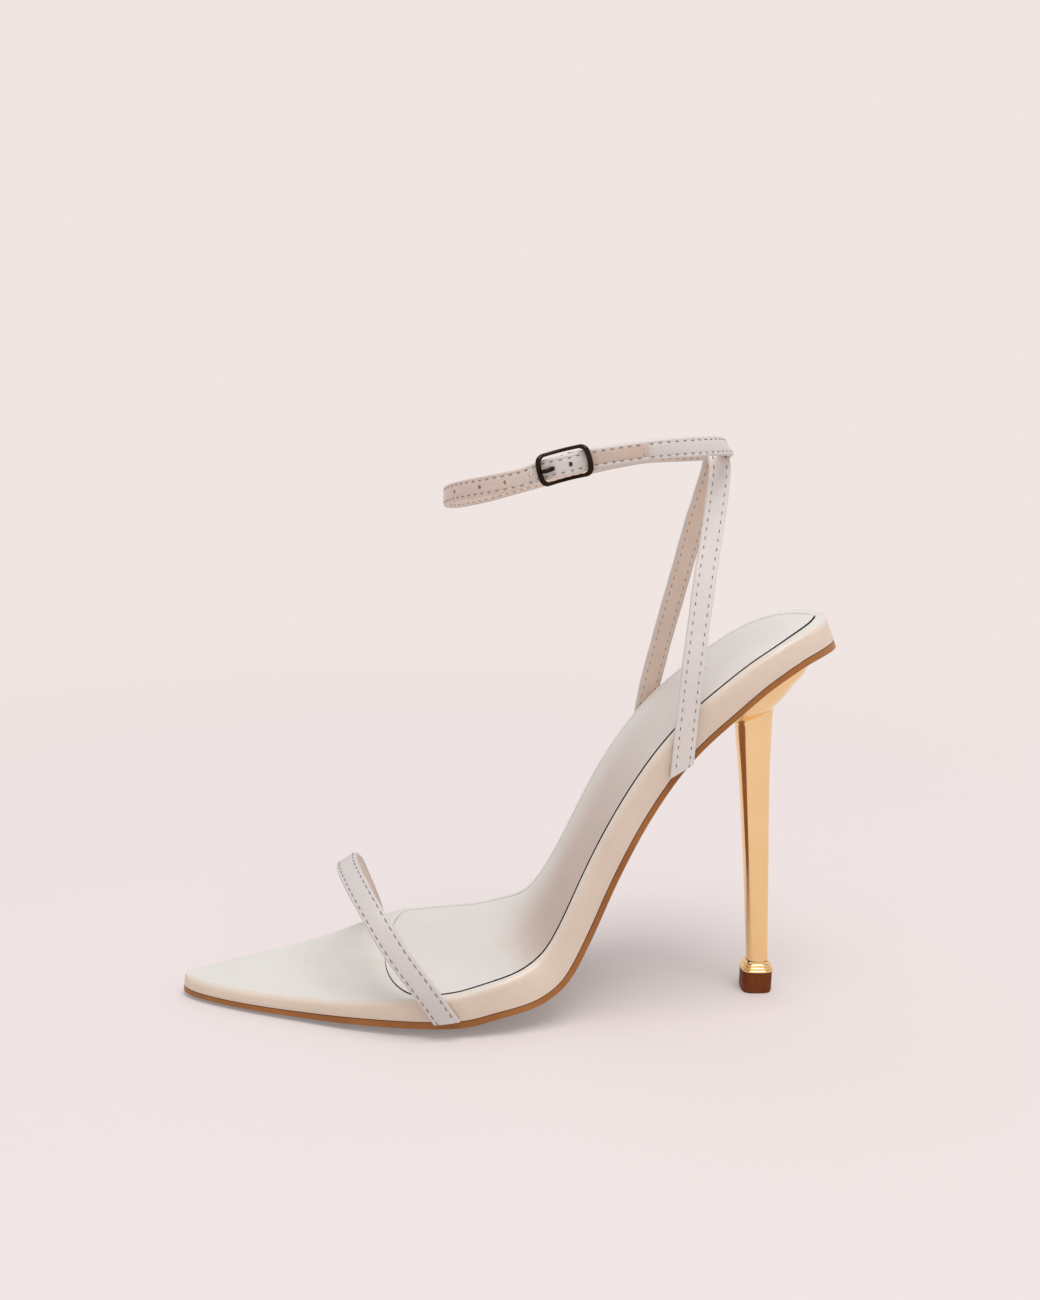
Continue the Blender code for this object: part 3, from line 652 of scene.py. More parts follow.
def add_mesh(name, vertices, faces, materials, face_materials=None, sharp=38.0):
    mesh = bpy.data.meshes.new(name)
    mesh.from_pydata([tuple(v) for v in vertices], [], faces)
    for made in materials:
        mesh.materials.append(made)
    if face_materials is not None:
        for face, index in zip(mesh.polygons, face_materials):
            face.material_index = index
    shape = bmesh.new()
    shape.from_mesh(mesh)
    bmesh.ops.recalc_face_normals(shape, faces=shape.faces)
    shape.to_mesh(mesh)
    shape.free()
    mesh.shade_smooth()
    if sharp:
        mesh.set_sharp_from_angle(angle=math.radians(sharp))
    made = bpy.data.objects.new(name, mesh)
    bpy.context.scene.collection.objects.link(made)
    return made


def loft(name, rings, materials, pick=None, sharp=38.0):
    """A closed body through rings; pick gives the material index of face i between rings r and r + 1."""
    count = len(rings[0])
    vertices = [point for ring in rings for point in ring]
    faces, indices = [], []
    for r in range(len(rings) - 1):
        for i in range(count):
            j = (i + 1) % count
            faces.append((r * count + i, r * count + j, (r + 1) * count + j, (r + 1) * count + i))
            indices.append(pick(r, i) if pick else 0)
    last = (len(rings) - 1) * count
    faces += [tuple(range(count))[::-1], tuple(range(last, last + count))]
    indices += [0, 0]
    return add_mesh(name, vertices, faces, materials, indices, sharp)


def done(piece, slot_name, *nodes):
    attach(piece, "root")
    if nodes:
        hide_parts(*nodes)


def cut(target, cutter):
    """Cuts at once, and removes the cutter."""
    step = target.modifiers.new("cut", "BOOLEAN")
    step.operation = "DIFFERENCE"
    step.solver = "EXACT"
    step.object = cutter
    graph = bpy.context.evaluated_depsgraph_get()
    mesh = bpy.data.meshes.new_from_object(target.evaluated_get(graph))
    target.modifiers.clear()
    target.data = mesh
    bpy.data.objects.remove(cutter)


def add_painted_light(piece, values):
    """The share of the painted light and shade tone at each vertex."""
    side = piece.data.attributes.new("side", "FLOAT", "POINT")
    side.data.foreach_set("value", np.array(values, dtype=np.float32))


# Sole


def mirrored(shares):
    """Shares across, from the outer edge over the middle to the inner edge."""
    return [-share for share in shares] + [0] + shares[::-1]


def make_outsole():
    shares = mirrored([1, 0.97, 0.9, 0.8, 0.68, 0.55, FLAT_SHARE, 0.2])
    rings = []
    for x in stations(0, LENGTH, 260, 0.5):
        drop, top = sole_value("drop", x), sole_height(x)
        low, high = [], []
        for share in shares:
            y, lift = share * half(x, share), edge_lift(x, share)
            edge = OUTSOLE_TUCK if abs(share) == 1 else 0.0
            low.append(sole_point(x, y, lift + edge - drop))
            high.append(sole_point(x, y * (1 - edge * 0.02), lift + top - edge * 0.4))
        rings.append(low + high[::-1])
    under = len(shares) - 1

    # The top faces, hidden in the slit under the platform, take the painted slit shadow.
    def pick(r, i):
        if i < under:
            return 1
        return 2 if under < i < 2 * under + 1 else 0

    piece = loft("outsole_leather", rings, [SOLE_EDGE, SOLE_UNDER, SOLE_SLIT_SHADOW], pick)
    done(piece, "sole_leather", "outsole")


def sock_half(x, side, grow):
    """Half width of the sock on one side, or of the hole for it where it is grown by the groove."""
    outline = sole_value(side, x) - SOCK_INSET + grow
    front = min(max((x - SOCK_FRONT + grow * FRONT_GROOVE_SHARE) / SOCK_FRONT_ROUND[side], 0), 1)
    back = min(max((SOCK_BACK + grow - x) / SOCK_BACK_ROUND, 0), 1)
    back_share = math.sqrt(1 - (1 - back) ** SOCK_BACK_POWER)
    return max(outline * math.sqrt(1 - (1 - front) ** 2) * back_share, 0.02)


def end_spots(first, last):
    """Sections close together at both ends of the sock, where its outline turns quickly."""
    steps = (0.0, 0.004, 0.015, 0.04, 0.09, 0.16, 0.25, 0.37, 0.52, 0.7, 0.95, 1.3, 1.7, 2.2, 2.9, 3.8)
    return [first + d for d in steps] + [last - d for d in steps]


def merged(spots, smallest=0.003):
    kept = []
    for x in sorted(spots):
        if not kept or x - kept[-1] > smallest:
            kept.append(x)
    return kept


def bed_waves(x, turn):
    """Shallow unevenness of the wrapped side, a little stronger where the leather goes round the arch."""
    arch = math.exp(-(((x - 124) / 13) ** 2))
    wave = math.sin(x * 0.9 + turn) * 0.35 + math.sin(x * 0.37 + 2.1 * turn) * 0.65
    return wave * (0.03 + 0.07 * arch)


def groove(x, side):
    """Width of the groove beside the sock, narrower over the ball on the outer side."""
    if side == "inner":
        return FAR_GROOVE
    wider = eased((x - GROOVE_WIDENS_FROM) / GROOVE_WIDENS_OVER)
    return GROOVE * (GROOVE_BALL_PART + GROOVE_ARCH_PART * wider)


def make_footbed():
    shares = mirrored([1, 0.9, 0.75, 0.6, FLAT_SHARE])
    turns = [math.radians(a) for a in (0, 12, 24, 36, 48, 60, 75, 90)]
    wall_shares = (0.12, 0.3, 0.5, 0.7, 0.88)
    first, last = SOCK_FRONT - GROOVE * FRONT_GROOVE_SHARE, SOCK_BACK + GROOVE
    ends = [first - 0.01, last + 0.01] + end_spots(first, last)
    spots = merged(ends + stations(0, LENGTH, 280, 0.5))
    rings = []
    for x in spots:
        base = sole_height(x) + SOLE_SEAM_GAP
        low = [sole_point(x, share * half(x, share), edge_lift(x, share) + base) for share in shares]
        inside = first <= x <= last
        depth = SOCK_DEPTH if inside else 0.0
        tops = []
        for name, sign in (("inner", 1), ("outer", -1)):
            rim = sole_value(name, x)
            radius = min(RIM_RADIUS, 0.45 * rim)
            top = bed_top(x, sign * rim) - edge_lift(x, sign) - base
            walls = []
            for share in wall_shares:
                height = edge_lift(x, sign) + base + (top - radius) * share
                bulge = math.sin(math.pi * share) * (BED_BULGE + bed_waves(x, sign * share * 2))
                walls.append((sign * (rim + bulge * min(rim / 8, 1)), height))
            arc = [(sign * (rim - radius * (1 - math.cos(t))), -radius * (1 - math.sin(t))) for t in turns]
            lip = min(sock_half(x, name, groove(x, name)), rim - radius - LIP_MARGIN) if inside else 0.02
            edge = min(LIP_ROUND, lip * 0.5) if inside else 0.0
            shelf = [(sign * (lip + edge + (rim - radius - lip - edge) * s), 0.0) for s in (0.75, 0.5, 0.25)]
            fall = [(sign * (lip + edge), 0.0), (sign * (lip + edge * 0.3), -0.07 if inside else 0.0)]
            fall += [(sign * lip, -0.24 if inside else 0.0), (sign * lip, -depth)]
            rise = [(y, bed_top(x, y) + drop) for y, drop in arc + shelf + fall]
            tops.append(walls + rise)
        rings.append(low + [bed_point(x, y, level) for y, level in tops[0] + tops[1][::-1]])
    floor_face = len(shares) + len(tops[0]) - 1

    # The underside takes the painted slit shadow and the recess floor the painted groove shadow.
    def pick(r, i):
        if i < len(shares) - 1:
            return 2
        return 1 if i == floor_face and first <= spots[r] and spots[r + 1] <= last else 0

    piece = loft("footbed_wrap", rings, [WRAP, SEAM_DARK, SOLE_SLIT_SHADOW], pick, 50.0)
    # Painted light and shade: the sides take the full side tone, fading over the rim to none on the top.
    rim_values = [max(math.cos(t), 0.0) ** 0.8 for t in turns]
    top_values = [0.0] * (len(tops[0]) - len(wall_shares) - len(turns))
    half_ring = [1.0] * len(wall_shares) + rim_values + top_values
    add_painted_light(piece, ([1.0] * len(shares) + half_ring + half_ring[::-1]) * len(rings))
    done(piece, "ivory_leather", "footbed")


def sock_creases(x, y):
    """A few soft creases across the ball, where the foot bends the sock."""
    depth = 0.0
    for at, slant, wide, deep in CREASES:
        away = (x - at - slant * y + 0.8 * math.sin(y * 0.21 + at)) / wide
        depth += deep * math.exp(-away * away) * (0.6 + 0.4 * math.sin(y * 0.13 + at))
    return depth


def make_sock():
    shares = mirrored([1, 0.992, 0.975, 0.95, 0.9, 0.8, 0.65, 0.45, 0.2])
    spots = merged(end_spots(SOCK_FRONT, SOCK_BACK) + stations(SOCK_FRONT, SOCK_BACK, 260, 0.5))
    rings = []
    for x in spots:
        from_end = min(x - SOCK_FRONT, SOCK_BACK - x)
        soft = min(from_end, SOCK_SOFT_RUN) / SOCK_SOFT_RUN
        crown_here = SOCK_CROWN * (1 - (1 - min(from_end, SOCK_CROWN_RUN) / SOCK_CROWN_RUN) ** 2)
        low, high = [], []
        for share in shares:
            reach = sock_half(x, "outer" if share < 0 else "inner", 0.0)
            y = share * reach
            inward = min(reach * (1 - abs(share)), SOCK_SOFT_RUN) / SOCK_SOFT_RUN
            round_off = SOCK_EDGE_ROUND * (1 - math.sqrt(1 - (1 - min(inward, soft)) ** 2))
            crown = crown_here * (1 - share**4)
            low.append(bed_point(x, y, bed_top(x, y) - SOCK_DEPTH + 0.1))
            proud = SOCK_PROUD - (SOCK_PROUD + SOCK_SUNK) * eased(share * 1.1)
            high.append(bed_point(x, y, bed_top(x, y) + proud + crown - round_off - sock_creases(x, y)))
        rings.append(low + high[::-1])
    count = len(shares)
    # Painted shade in the groove: the sock's outer wall takes the dark groove shadow, its inner wall the
    # darker edge tone.
    walls = {2 * count - 1: 1, count - 1: 2}
    piece = loft("sock_cover", rings, [SOCK, SEAM_DARK, EDGE_PAINT_AND_GROOVE_SHADE], lambda r, i: walls.get(i, 0), 60.0)
    # Painted shade over the arch, strongest towards the outer edge and fading towards the inner one.
    values = []
    for x in spots:
        arch = eased((x - ARCH_SHADE_FROM) / ARCH_SHADE_RISE) * eased((ARCH_SHADE_TO - x) / ARCH_SHADE_FALL)
        row = [arch * eased((1.1 - share) / 1.3) for share in shares]
        values += row + row[::-1]
    add_painted_light(piece, values)
    done(piece, "sock_leather", "insole_sock")


# Straps


def strap_frames(line, across, outward):
    """Point, direction, width direction and outward direction along a strap."""
    frames = []
    for i in range(len(line)):
        along = line[min(i + 1, len(line) - 1)] - line[max(i - 1, 0)]
        along = along / np.linalg.norm(along)
        wide = across[i] - along * np.dot(across[i], along)
        wide = wide / np.linalg.norm(wide)
        frames.append((line[i], along, wide, np.cross(along, wide) * outward))
    return frames


def strap_section(width, thick, row):
    """A strap's outline as (across, out) pairs with the face each starts: 0 outer, 1 edge, 2 inner.

    The outer side is slightly crowned and dips along its two rows of stitches.
    """
    w, t = width / 2, thick / 2
    r = t * 0.62
    flat = [-(w - r), -(row + 0.6), -(row + 0.25), -row, -(row - 0.25), -(row - 0.7), -row * 0.4, 0.0]
    outer = []
    for u in flat + [-u for u in flat[:-1][::-1]]:
        dip = 0.11 * math.exp(-(((abs(u) - row) / 0.3) ** 2))
        outer.append((u, t + 0.16 * (1 - (u / (w - r)) ** 2) - dip))
    turns = [math.radians(a) for a in (25, 50, 75, 90)]
    corner = [(w - r + r * math.sin(a), t - r + r * math.cos(a)) for a in turns]
    right = corner + [(x, -y) for x, y in corner[::-1]]
    inner = [(w - r, -t), (w * 0.45, -t), (0, -t), (-w * 0.45, -t), (-(w - r), -t)]
    left = [(-x, y) for x, y in right[::-1]]
    kinds = [0] * (len(outer) - 1) + [0, 0, 0, 1] + [1] * 5 + [2] * (len(inner) - 1) + [1] * 5 + [1, 0, 0, 0]
    return outer + right + inner + left, kinds


def strap_rings(frames, section, feet=()):
    """Rings of a strap. A foot is (at its end, cut's rise over run, length over which the cut fades)."""
    spacing = np.linalg.norm(frames[1][0] - frames[0][0])
    rings = []
    for i, (at, along, wide, out) in enumerate(frames):
        shift = 0.0
        for at_end, slope, reach in feet:
            _, run, across, _ = frames[-1] if at_end else frames[0]
            far = len(frames) - 1 - i if at_end else i
            fade = max(1 - far * spacing / reach, 0) ** 2
            shift += fade * (slope * across[0] - across[2]) / (run[2] - slope * run[0])
        stretch = 1 + 0.012 * math.sin(i * 0.17) + 0.008 * math.sin(i * 0.41 + 1)
        rings.append([place(*(at + (wide + along * shift) * u * stretch + out * v)) for u, v in section])
    return rings


def sew(name, frames, offsets, height, pitch=3.0, start=1.8, end=1.4, long_half=0.55):
    """Rows of stitches lying in a strap's face, each a small rounded bar sunk in at its ends."""
    length = run_lengths(np.array([f[0] for f in frames]))
    vertices, faces = [], []
    for offset in offsets:
        at = start
        while at < length[-1] - end:
            i = max(min(int(np.searchsorted(length, at)), len(frames) - 1), 1)
            t = (at - length[i - 1]) / (length[i] - length[i - 1])
            p, along, wide, out = (frames[i - 1][k] * (1 - t) + frames[i][k] * t for k in range(4))
            add_stitch(vertices, faces, p + wide * offset + out * height, along * long_half, wide, out)
            at += pitch
    done(add_mesh(name, vertices, faces, [THREAD_AND_PIT_SHADE], None, 0), "ivory_leather")


def add_stitch(vertices, faces, centre, along, wide, out):
    wide_half, high_half = STITCH_WIDE / 2, STITCH_HIGH / 2
    first = len(vertices)
    for x, grow, lift in STITCH_SHAPE:
        for k in range(6):
            a = math.pi * k / 3
            v = centre + along * x + wide * math.cos(a) * wide_half * grow
            v = v + out * (lift * high_half * 0.5 + math.sin(a) * high_half * grow)
            vertices.append(place(*v))
    for r in range(len(STITCH_SHAPE) - 1):
        for k in range(6):
            n = (k + 1) % 6
            faces.append((first + r * 6 + k, first + r * 6 + n, first + r * 6 + 6 + n, first + r * 6 + 6 + k))
    faces.append(tuple(first + k for k in range(6))[::-1])
    last = first + 6 * (len(STITCH_SHAPE) - 1)
    faces.append(tuple(last + k for k in range(6)))


def foot_side(side, x):
    """Distance of a strap's middle from the shoe's middle where its foot lies on the platform's side."""
    widest = max(sole_value(side, at) for at in (x - FOOT_REACH, x, x + FOOT_REACH))
    return widest + GAP + STRAP_THICK / 2


def side_line(rows):
    """Table rows with the share of the half width turned into y."""
    outer, inner = foot_side("outer", rows[0][0]), foot_side("inner", rows[-1][0])
    return [(row[0], row[1] * (outer if row[1] < 0 else inner), *row[2:]) for row in rows]


def make_toe_strap():
    points = even(catmull(side_line(TOE_ROWS)), STRAP_SPACING)
    across = np.array([(TOE_WIDE_X, y, TOE_WIDE_Z) for y in points[:, 3]])
    frames = strap_frames(points[:, :3], across, -1)
    row = TOE_STRAP_WIDTH / 2 - TOE_STITCH_INSET
    section, kinds = strap_section(TOE_STRAP_WIDTH, STRAP_THICK, row)
    rings = strap_rings(frames, section, TOE_FEET)
    piece = loft("toe_strap_leather", rings, [TOE_IVORY_PAINTED_SHADE, EDGE_PAINT_AND_GROOVE_SHADE, PALE_LINING], lambda r, i: kinds[i], 60.0)
    done(piece, "ivory_leather", "toe_strap")
    top = STRAP_THICK / 2 + STITCH_PROUD
    sew("toe_strap_stitches", frames, (-row, row), top, pitch=2.8, long_half=0.8)


def make_heel_strap():
    points = even(catmull(side_line(HEEL_STRAP_ROWS)), STRAP_SPACING)
    across = np.tile(np.array([1.0, 0.0, 0.0]), (len(points), 1))
    frames = strap_frames(points, across, -1)
    row = HEEL_STRAP_WIDTH / 2 - HEEL_STITCH_INSET
    section, kinds = strap_section(HEEL_STRAP_WIDTH, STRAP_THICK, row)
    rings = strap_rings(frames, section, HEEL_STRAP_FEET)
    piece = loft("heel_strap_leather", rings, [IVORY, EDGE_PAINT_AND_GROOVE_SHADE, LINING], lambda r, i: kinds[i], 60.0)
    done(piece, "ivory_leather", "ankle_and_heel_straps")
    top = STRAP_THICK / 2 + STITCH_PROUD
    sew("heel_strap_stitches", frames, (-row, row), top)
    sew("heel_strap_inner_stitches", frames, (-row, row), -STRAP_THICK / 2)


def ankle_frames():
    points = even(catmull(ANKLE_ROWS), ANKLE_SPACING)
    across = np.array([(-lean, 0.0, 1.0) for lean in points[:, 3]])
    return strap_frames(points[:, :3], across, 1)


def last_run(frames):
    """Numbers of the frames on the strap's last run, over the outer side."""
    return [i for i in range(len(frames)) if i > len(frames) * LAST_RUN]


def near_frame(frames, x):
    """The frame on the last run that is nearest to this x."""
    return min((frames[i] for i in last_run(frames)), key=lambda f: abs(f[0][0] - x))


def cylinder(name, start, end, radius, materials, points=20):
    axis = np.array(end) - np.array(start)
    length = np.linalg.norm(axis)
    turn = Vector(axis).to_track_quat("Z", "Y").to_matrix()
    rings = []
    for h in (0.0, length):
        ring = []
        for k in range(points):
            a = 2 * math.pi * k / points
            v = turn @ Vector((radius * math.cos(a), radius * math.sin(a), h))
            ring.append(place(*(Vector(start) + v)))
        rings.append(ring)
    return loft(name, rings, materials)


def make_ankle_strap():
    frames = ankle_frames()
    row = ANKLE_STRAP_WIDTH / 2 - ANKLE_STITCH_INSET
    section, kinds = strap_section(ANKLE_STRAP_WIDTH, ANKLE_STRAP_THICK, row)
    rings = strap_rings(frames, section)
    free_from = next(i for i in last_run(frames) if frames[i][0][0] > FREE_END_FROM)

    # The free end's outer faces take the darker painted shade.
    def pick(r, i):
        return 4 if r >= free_from and i in FREE_END_FACES else kinds[i]

    materials = [ANKLE_IVORY_PAINTED_SHADE, EDGE_PAINT_AND_GROOVE_SHADE, LINING, HOLE_SIDE_PAINTED_LIGHT, FREE_END_PAINTED_SHADE, HOLE_DARK]
    piece = loft("ankle_strap_leather", rings, materials, pick, 60.0)
    for x in HOLES_X:
        at, _, _, out = near_frame(frames, x)
        # The prong hole's walls take the painted hole shadow, the other holes' walls the lighter painted
        # light.
        radius, wall = (PRONG_HOLE_RADIUS, HOLE_DARK) if x > BUCKLE_X else (HOLE_RADIUS, HOLE_SIDE_PAINTED_LIGHT)
        cut(piece, cylinder("hole", at - out * 1.6, at + out * 2.2, radius, [wall]))
    piece.data.set_sharp_from_angle(angle=math.radians(50))
    places = [v.co.x / MM for v in piece.data.vertices]
    # Painted shade: the strap's warmer, darker tone towards the front.
    add_painted_light(piece, [eased((ANKLE_FRONT_SHADE_FROM - MIDDLE_X - x) / ANKLE_FRONT_SHADE_OVER) for x in places])
    done(piece, "ivory_leather", "ankle_and_heel_straps")
    top = ANKLE_STRAP_THICK / 2 + STITCH_PROUD
    sew("ankle_strap_stitches", frames, (-row, row), top, pitch=2.6)
    sew("ankle_strap_inner_stitches", frames, (-row, row), -ANKLE_STRAP_THICK / 2, pitch=2.6)
    at, along, wide, out = frames[-3]
    turned = [(at + wide * s, wide, -along, out) for s in np.linspace(-row, row, 9)]
    sew("strap_end_stitches", turned, (0.0,), top, pitch=1.6, start=0.9, end=0.4)


# Buckle


def buckle_place():
    """Centre, direction, width direction and outward direction of the buckle, which stands upright."""
    centre, along, _, _ = near_frame(ankle_frames(), BUCKLE_X)
    wide = np.array([0, 0, 1.0]) - along * along[2]
    wide = wide / np.linalg.norm(wide)
    return centre, along, wide, np.cross(along, wide)


def sweep(name, line, radii, closed, materials, points=14):
    """A round bar along a line, with a radius at each of its points."""
    count = len(line)
    rings = []
    for i, at in enumerate(line):
        ahead = line[(i + 1) % count] if closed or i + 1 < count else at
        behind = line[i - 1] if closed or i else at
        along = (ahead - behind) / np.linalg.norm(ahead - behind)
        side = np.cross(along, np.array([0.0, -1.0, 0.0]))
        side = side / np.linalg.norm(side)
        up = np.cross(side, along)
        turns = [2 * math.pi * k / points for k in range(points)]
        rings.append([place(*(at + (side * math.cos(a) + up * math.sin(a)) * radii[i])) for a in turns])
    if not closed:
        return loft(name, rings, materials)
    vertices = [v for ring in rings for v in ring]
    faces = []
    for r in range(count):
        n = (r + 1) % count
        for k in range(points):
            j = (k + 1) % points
            faces.append((r * points + k, r * points + j, n * points + j, n * points + k))
    return add_mesh(name, vertices, faces, materials)


def make_buckle():
    centre, along, wide, out = buckle_place()
    middle = -(ANKLE_STRAP_THICK / 2 + GAP + BUCKLE_INSET / 2)
    long_half, tall_half = (BUCKLE_LONG - BUCKLE_INSET) / 2, (BUCKLE_TALL - BUCKLE_INSET) / 2
    outline = []
    for sx, sy in ((1, 1), (-1, 1), (-1, -1), (1, -1)):
        turns = np.radians(np.linspace(0, 90, 9))
        for turn in turns if sx == sy else turns[::-1]:
            u = sx * (long_half - BUCKLE_CORNER * (1 - math.cos(turn)))
            v = sy * (tall_half - BUCKLE_CORNER * (1 - math.sin(turn)))
            outline.append((u + sx * BUCKLE_BULGE * (1 - (v / tall_half) ** 2), v))
        if sx == sy:
            outline += [(sx * long_half * s, sy * tall_half) for s in np.linspace(0.6, -0.6, 11)]
        else:
            for s in (0.4, 0.2, 0.0, -0.2, -0.4):
                v = sy * tall_half * s
                outline.append((sx * (long_half + BUCKLE_BULGE * (1 - (v / tall_half) ** 2)), v))
    line, radii = [], []
    for u, v in outline:
        lift = middle + (BUCKLE_SIDE_OUT - middle) * min((u / long_half) ** 2, 1.15)
        line.append(centre + along * u + wide * v + out * lift)
        at_side = min(max((abs(u) / long_half - 0.75) / 0.25, 0), 1)
        radii.append((BUCKLE_WIRE + (BUCKLE_SIDE_WIDE - BUCKLE_WIRE) * at_side) / 2)
    done(sweep("buckle_frame_metal", line, radii, True, [DARK_METAL]), "dark_metal", "buckle_frame")
    line = [centre + wide * v * BUCKLE_BAR_HALF + out * middle for v in np.linspace(-1, 1, 5)]
    radii = [BUCKLE_BAR_RADIUS] * len(line)
    done(sweep("buckle_bar_metal", line, radii, False, [DARK_METAL]), "dark_metal", "buckle_frame")
    bent = even(catmull([(a, o, 0.0) for a, o in PRONG_ROWS], 8), 0.25)
    line = [centre - along * a + out * o for a, o, _ in bent]
    radii = [PRONG_WIRE / 2 * min(1.0, 0.55 + 0.45 * (len(line) - 1 - i) / 4) for i in range(len(line))]
    done(sweep("buckle_prong_metal", line, radii, False, [DARK_METAL]), "dark_metal", "buckle_prong")


# Heel


def rounded_ring(front, back, wide_half, corner, points=72):
    """A ring from a front point to a back one, both (x, z)."""
    middle, reach = (np.array(front) + np.array(back)) / 2, (np.array(back) - np.array(front)) / 2
    ring = []
    for i in range(points):
        turn = 2 * math.pi * i / points
        c, s = math.cos(turn), math.sin(turn)
        x, z = middle + reach * math.copysign(abs(c) ** (2 / corner), c)
        ring.append(place(x, wide_half * math.copysign(abs(s) ** (2 / corner), s), z))
    return ring


def tip_ring(z, share, corner):
    """A level ring round the tip's middle, with a share of the tip's size."""
    long_half, wide_half = TIP_LONG / 2 * share, TIP_WIDE / 2 * share
    return rounded_ring((TIP_X - long_half, z), (TIP_X + long_half, z), wide_half, corner)


def make_heel():
    """Stem and seat are smoothed apart, so that the crease between them stays crisp."""
    knots = np.arange(len(HEEL_ROWS), dtype=float)
    columns = [column(HEEL_ROWS, k) for k in range(5)]
    rings = []
    for first, last, soft in ((0, STEM_TOP_ROW, STEM_SOFT), (STEM_TOP_ROW, len(HEEL_ROWS) - 1, SEAT_SOFT)):
        at = np.arange(first, last + HEEL_STEP / 2, HEEL_STEP)
        lines = [blurred(smooth(knots, values, at), HEEL_STEP, soft) for values in columns]
        for front_x, front_z, back_x, back_z, wide in zip(*lines):
            rings.append(rounded_ring((front_x, front_z), (back_x, back_z), wide, HEEL_CORNER))
    piece = loft("heel_gold", rings, [GOLD], None, 40.0)
    shares = mirrored([1, 0.8, 0.6, FLAT_SHARE])
    slab = []
    for x in np.linspace(SEAT_CUT_FROM, LENGTH, 110):
        spots = [(s * half(x, s) * SEAT_CUT_WIDER, edge_lift(x, s)) for s in shares]
        low_side = [sole_point(x, y, lift - GAP * 0.3) for y, lift in spots]
        high_side = [sole_point(x, y, lift + SEAT_CUT_HIGH) for y, lift in spots]
        slab.append(low_side + high_side[::-1])
    cut(piece, loft("seat_cut", slab, [GOLD]))
    piece.data.set_sharp_from_angle(angle=math.radians(40))
    done(piece, "gold_plating", "heel")


def make_ring_and_tip():
    rings = [tip_ring(RING_BOTTOM + z, share, RING_CORNER) for z, share in RING_STEPS]
    done(loft("heel_ring_gold", rings, [GOLD], None, 35.0), "gold_plating", "heel_ring")
    rings = [tip_ring(z, share, TIP_CORNER) for z, share in TIP_STEPS]
    done(loft("heel_tip_plastic", rings, [TIP], None, 35.0), "tip_plastic", "heel_tip")


# Room, light, camera


BACKDROP = (0.871, 0.783, 0.753)
STUDIO_FRONT = (0.78, 0.78, 0.79)
STUDIO_ABOVE = (0.56, 0.57, 0.59)
FRONT_FROM, FRONT_TO, ABOVE_TO = 0.22, 0.45, 0.80
FLOOR_COLOUR = (0.611, 0.538, 0.530)
FLOOR_GLOW = (0.155, 0.165, 0.165)
FLOOR_FADE_FROM, FLOOR_FADE_TO = 0.22, 0.62
FLOOR_HALF = 12.0
KEY_AT, KEY_TOWARDS, KEY_SIZE = (0.25, -0.6, 2.2), (0.0, 0.0, 0.05), (1.3, 1.3)
KEY_POWER, KEY_COLOUR = 31.0, (1.0, 0.96, 0.94)


def slope_share(tree, value, low, high):
    """A smooth rise from 0 to 1 between two values."""
    made = node(tree, "ShaderNodeMapRange")
    made.interpolation_type = "SMOOTHSTEP"
    made.inputs["From Min"].default_value = low
    made.inputs["From Max"].default_value = high
    tree.links.new(value, made.inputs["Value"])
    return made.outputs["Result"]


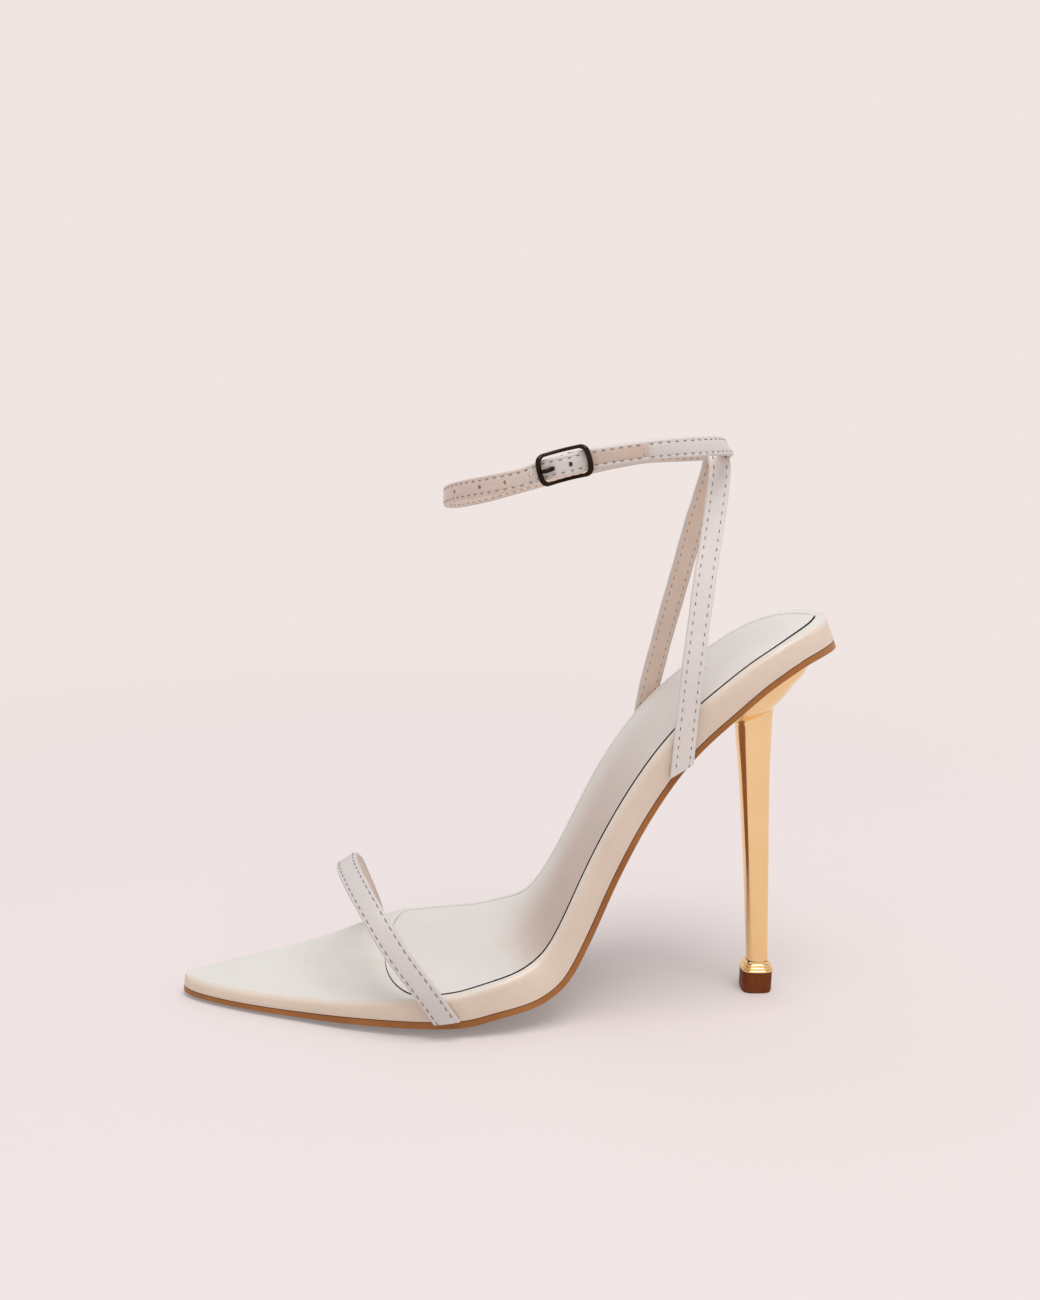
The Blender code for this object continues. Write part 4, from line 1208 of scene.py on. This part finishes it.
def make_room():
    made, tree, shader, point = new_material("studio_paper")
    away = node(tree, "ShaderNodeVectorMath")
    away.operation = "LENGTH"
    tree.links.new(point, away.inputs[0])
    shader.inputs["Base Color"].default_value = (*FLOOR_COLOUR, 1.0)
    shader.inputs["Emission Color"].default_value = (*FLOOR_GLOW, 1.0)
    shader.inputs["Emission Strength"].default_value = 1.0
    shader.inputs["Roughness"].default_value = 0.9
    shader.inputs["Specular IOR Level"].default_value = 0.1
    tree.links.new(bump(tree, ((noise(tree, point, 400.0), 0.05, 0.0002),)), shader.inputs["Normal"])
    glow = node(tree, "ShaderNodeEmission", Color=(*BACKDROP, 1.0), Strength=1.0)
    mix = tree.nodes.new("ShaderNodeMixShader")
    fade = slope_share(tree, away.outputs["Value"], FLOOR_FADE_FROM, FLOOR_FADE_TO)
    tree.links.new(fade, mix.inputs["Fac"])
    tree.links.new(shader.outputs["BSDF"], mix.inputs[1])
    tree.links.new(glow.outputs["Emission"], mix.inputs[2])
    tree.links.new(mix.outputs["Shader"], tree.nodes["Material Output"].inputs["Surface"])
    corners = [(x * FLOOR_HALF, y * FLOOR_HALF, 0) for x, y in ((-1, -1), (1, -1), (1, 1), (-1, 1))]
    floor = add_mesh("studio_floor", corners, [(0, 1, 2, 3)], [made], None, 0)
    world = bpy.data.worlds.new("studio")
    bpy.context.scene.world = world
    world.use_nodes = True
    tree = world.node_tree
    parts = tree.nodes.new("ShaderNodeSeparateXYZ")
    tree.links.new(tree.nodes.new("ShaderNodeTexCoord").outputs["Generated"], parts.inputs["Vector"])
    level = mixed(tree, slope_share(tree, parts.outputs["Z"], FRONT_FROM, FRONT_TO), BACKDROP, STUDIO_FRONT)
    above = mixed(tree, slope_share(tree, parts.outputs["Z"], FRONT_TO, ABOVE_TO), level, STUDIO_ABOVE)
    tree.links.new(above, tree.nodes["Background"].inputs["Color"])


def area_light(name, at, towards, size, power, colour):
    data = bpy.data.lights.new(name, "AREA")
    data.shape = "RECTANGLE"
    data.size, data.size_y = size
    data.energy = power
    data.color = colour
    made = bpy.data.objects.new(name, data)
    made.location = at
    made.rotation_euler = (Vector(towards) - Vector(at)).to_track_quat("-Z", "Y").to_euler()
    bpy.context.scene.collection.objects.link(made)


def make_camera():
    data = bpy.data.cameras.new("photo_camera")
    data.sensor_width = SENSOR
    data.lens = FOCAL_PIXELS / FRAME_HEIGHT * SENSOR
    data.clip_start = 0.01
    made = bpy.data.objects.new("photo_camera", data)
    turn = Matrix((CAMERA_RIGHT, CAMERA_UP, CAMERA_BACK)).transposed()
    made.matrix_world = Matrix.Translation(CAMERA_AT) @ turn.to_4x4()
    bpy.context.scene.collection.objects.link(made)
    bpy.context.scene.camera = made


make_camera()
make_outsole()
make_footbed()
make_sock()
make_toe_strap()
make_heel_strap()
make_ankle_strap()
make_buckle()
make_heel()
make_ring_and_tip()
make_room()
area_light("top_softbox", KEY_AT, KEY_TOWARDS, KEY_SIZE, KEY_POWER, KEY_COLOUR)
bpy.context.scene.view_settings.view_transform = "Standard"
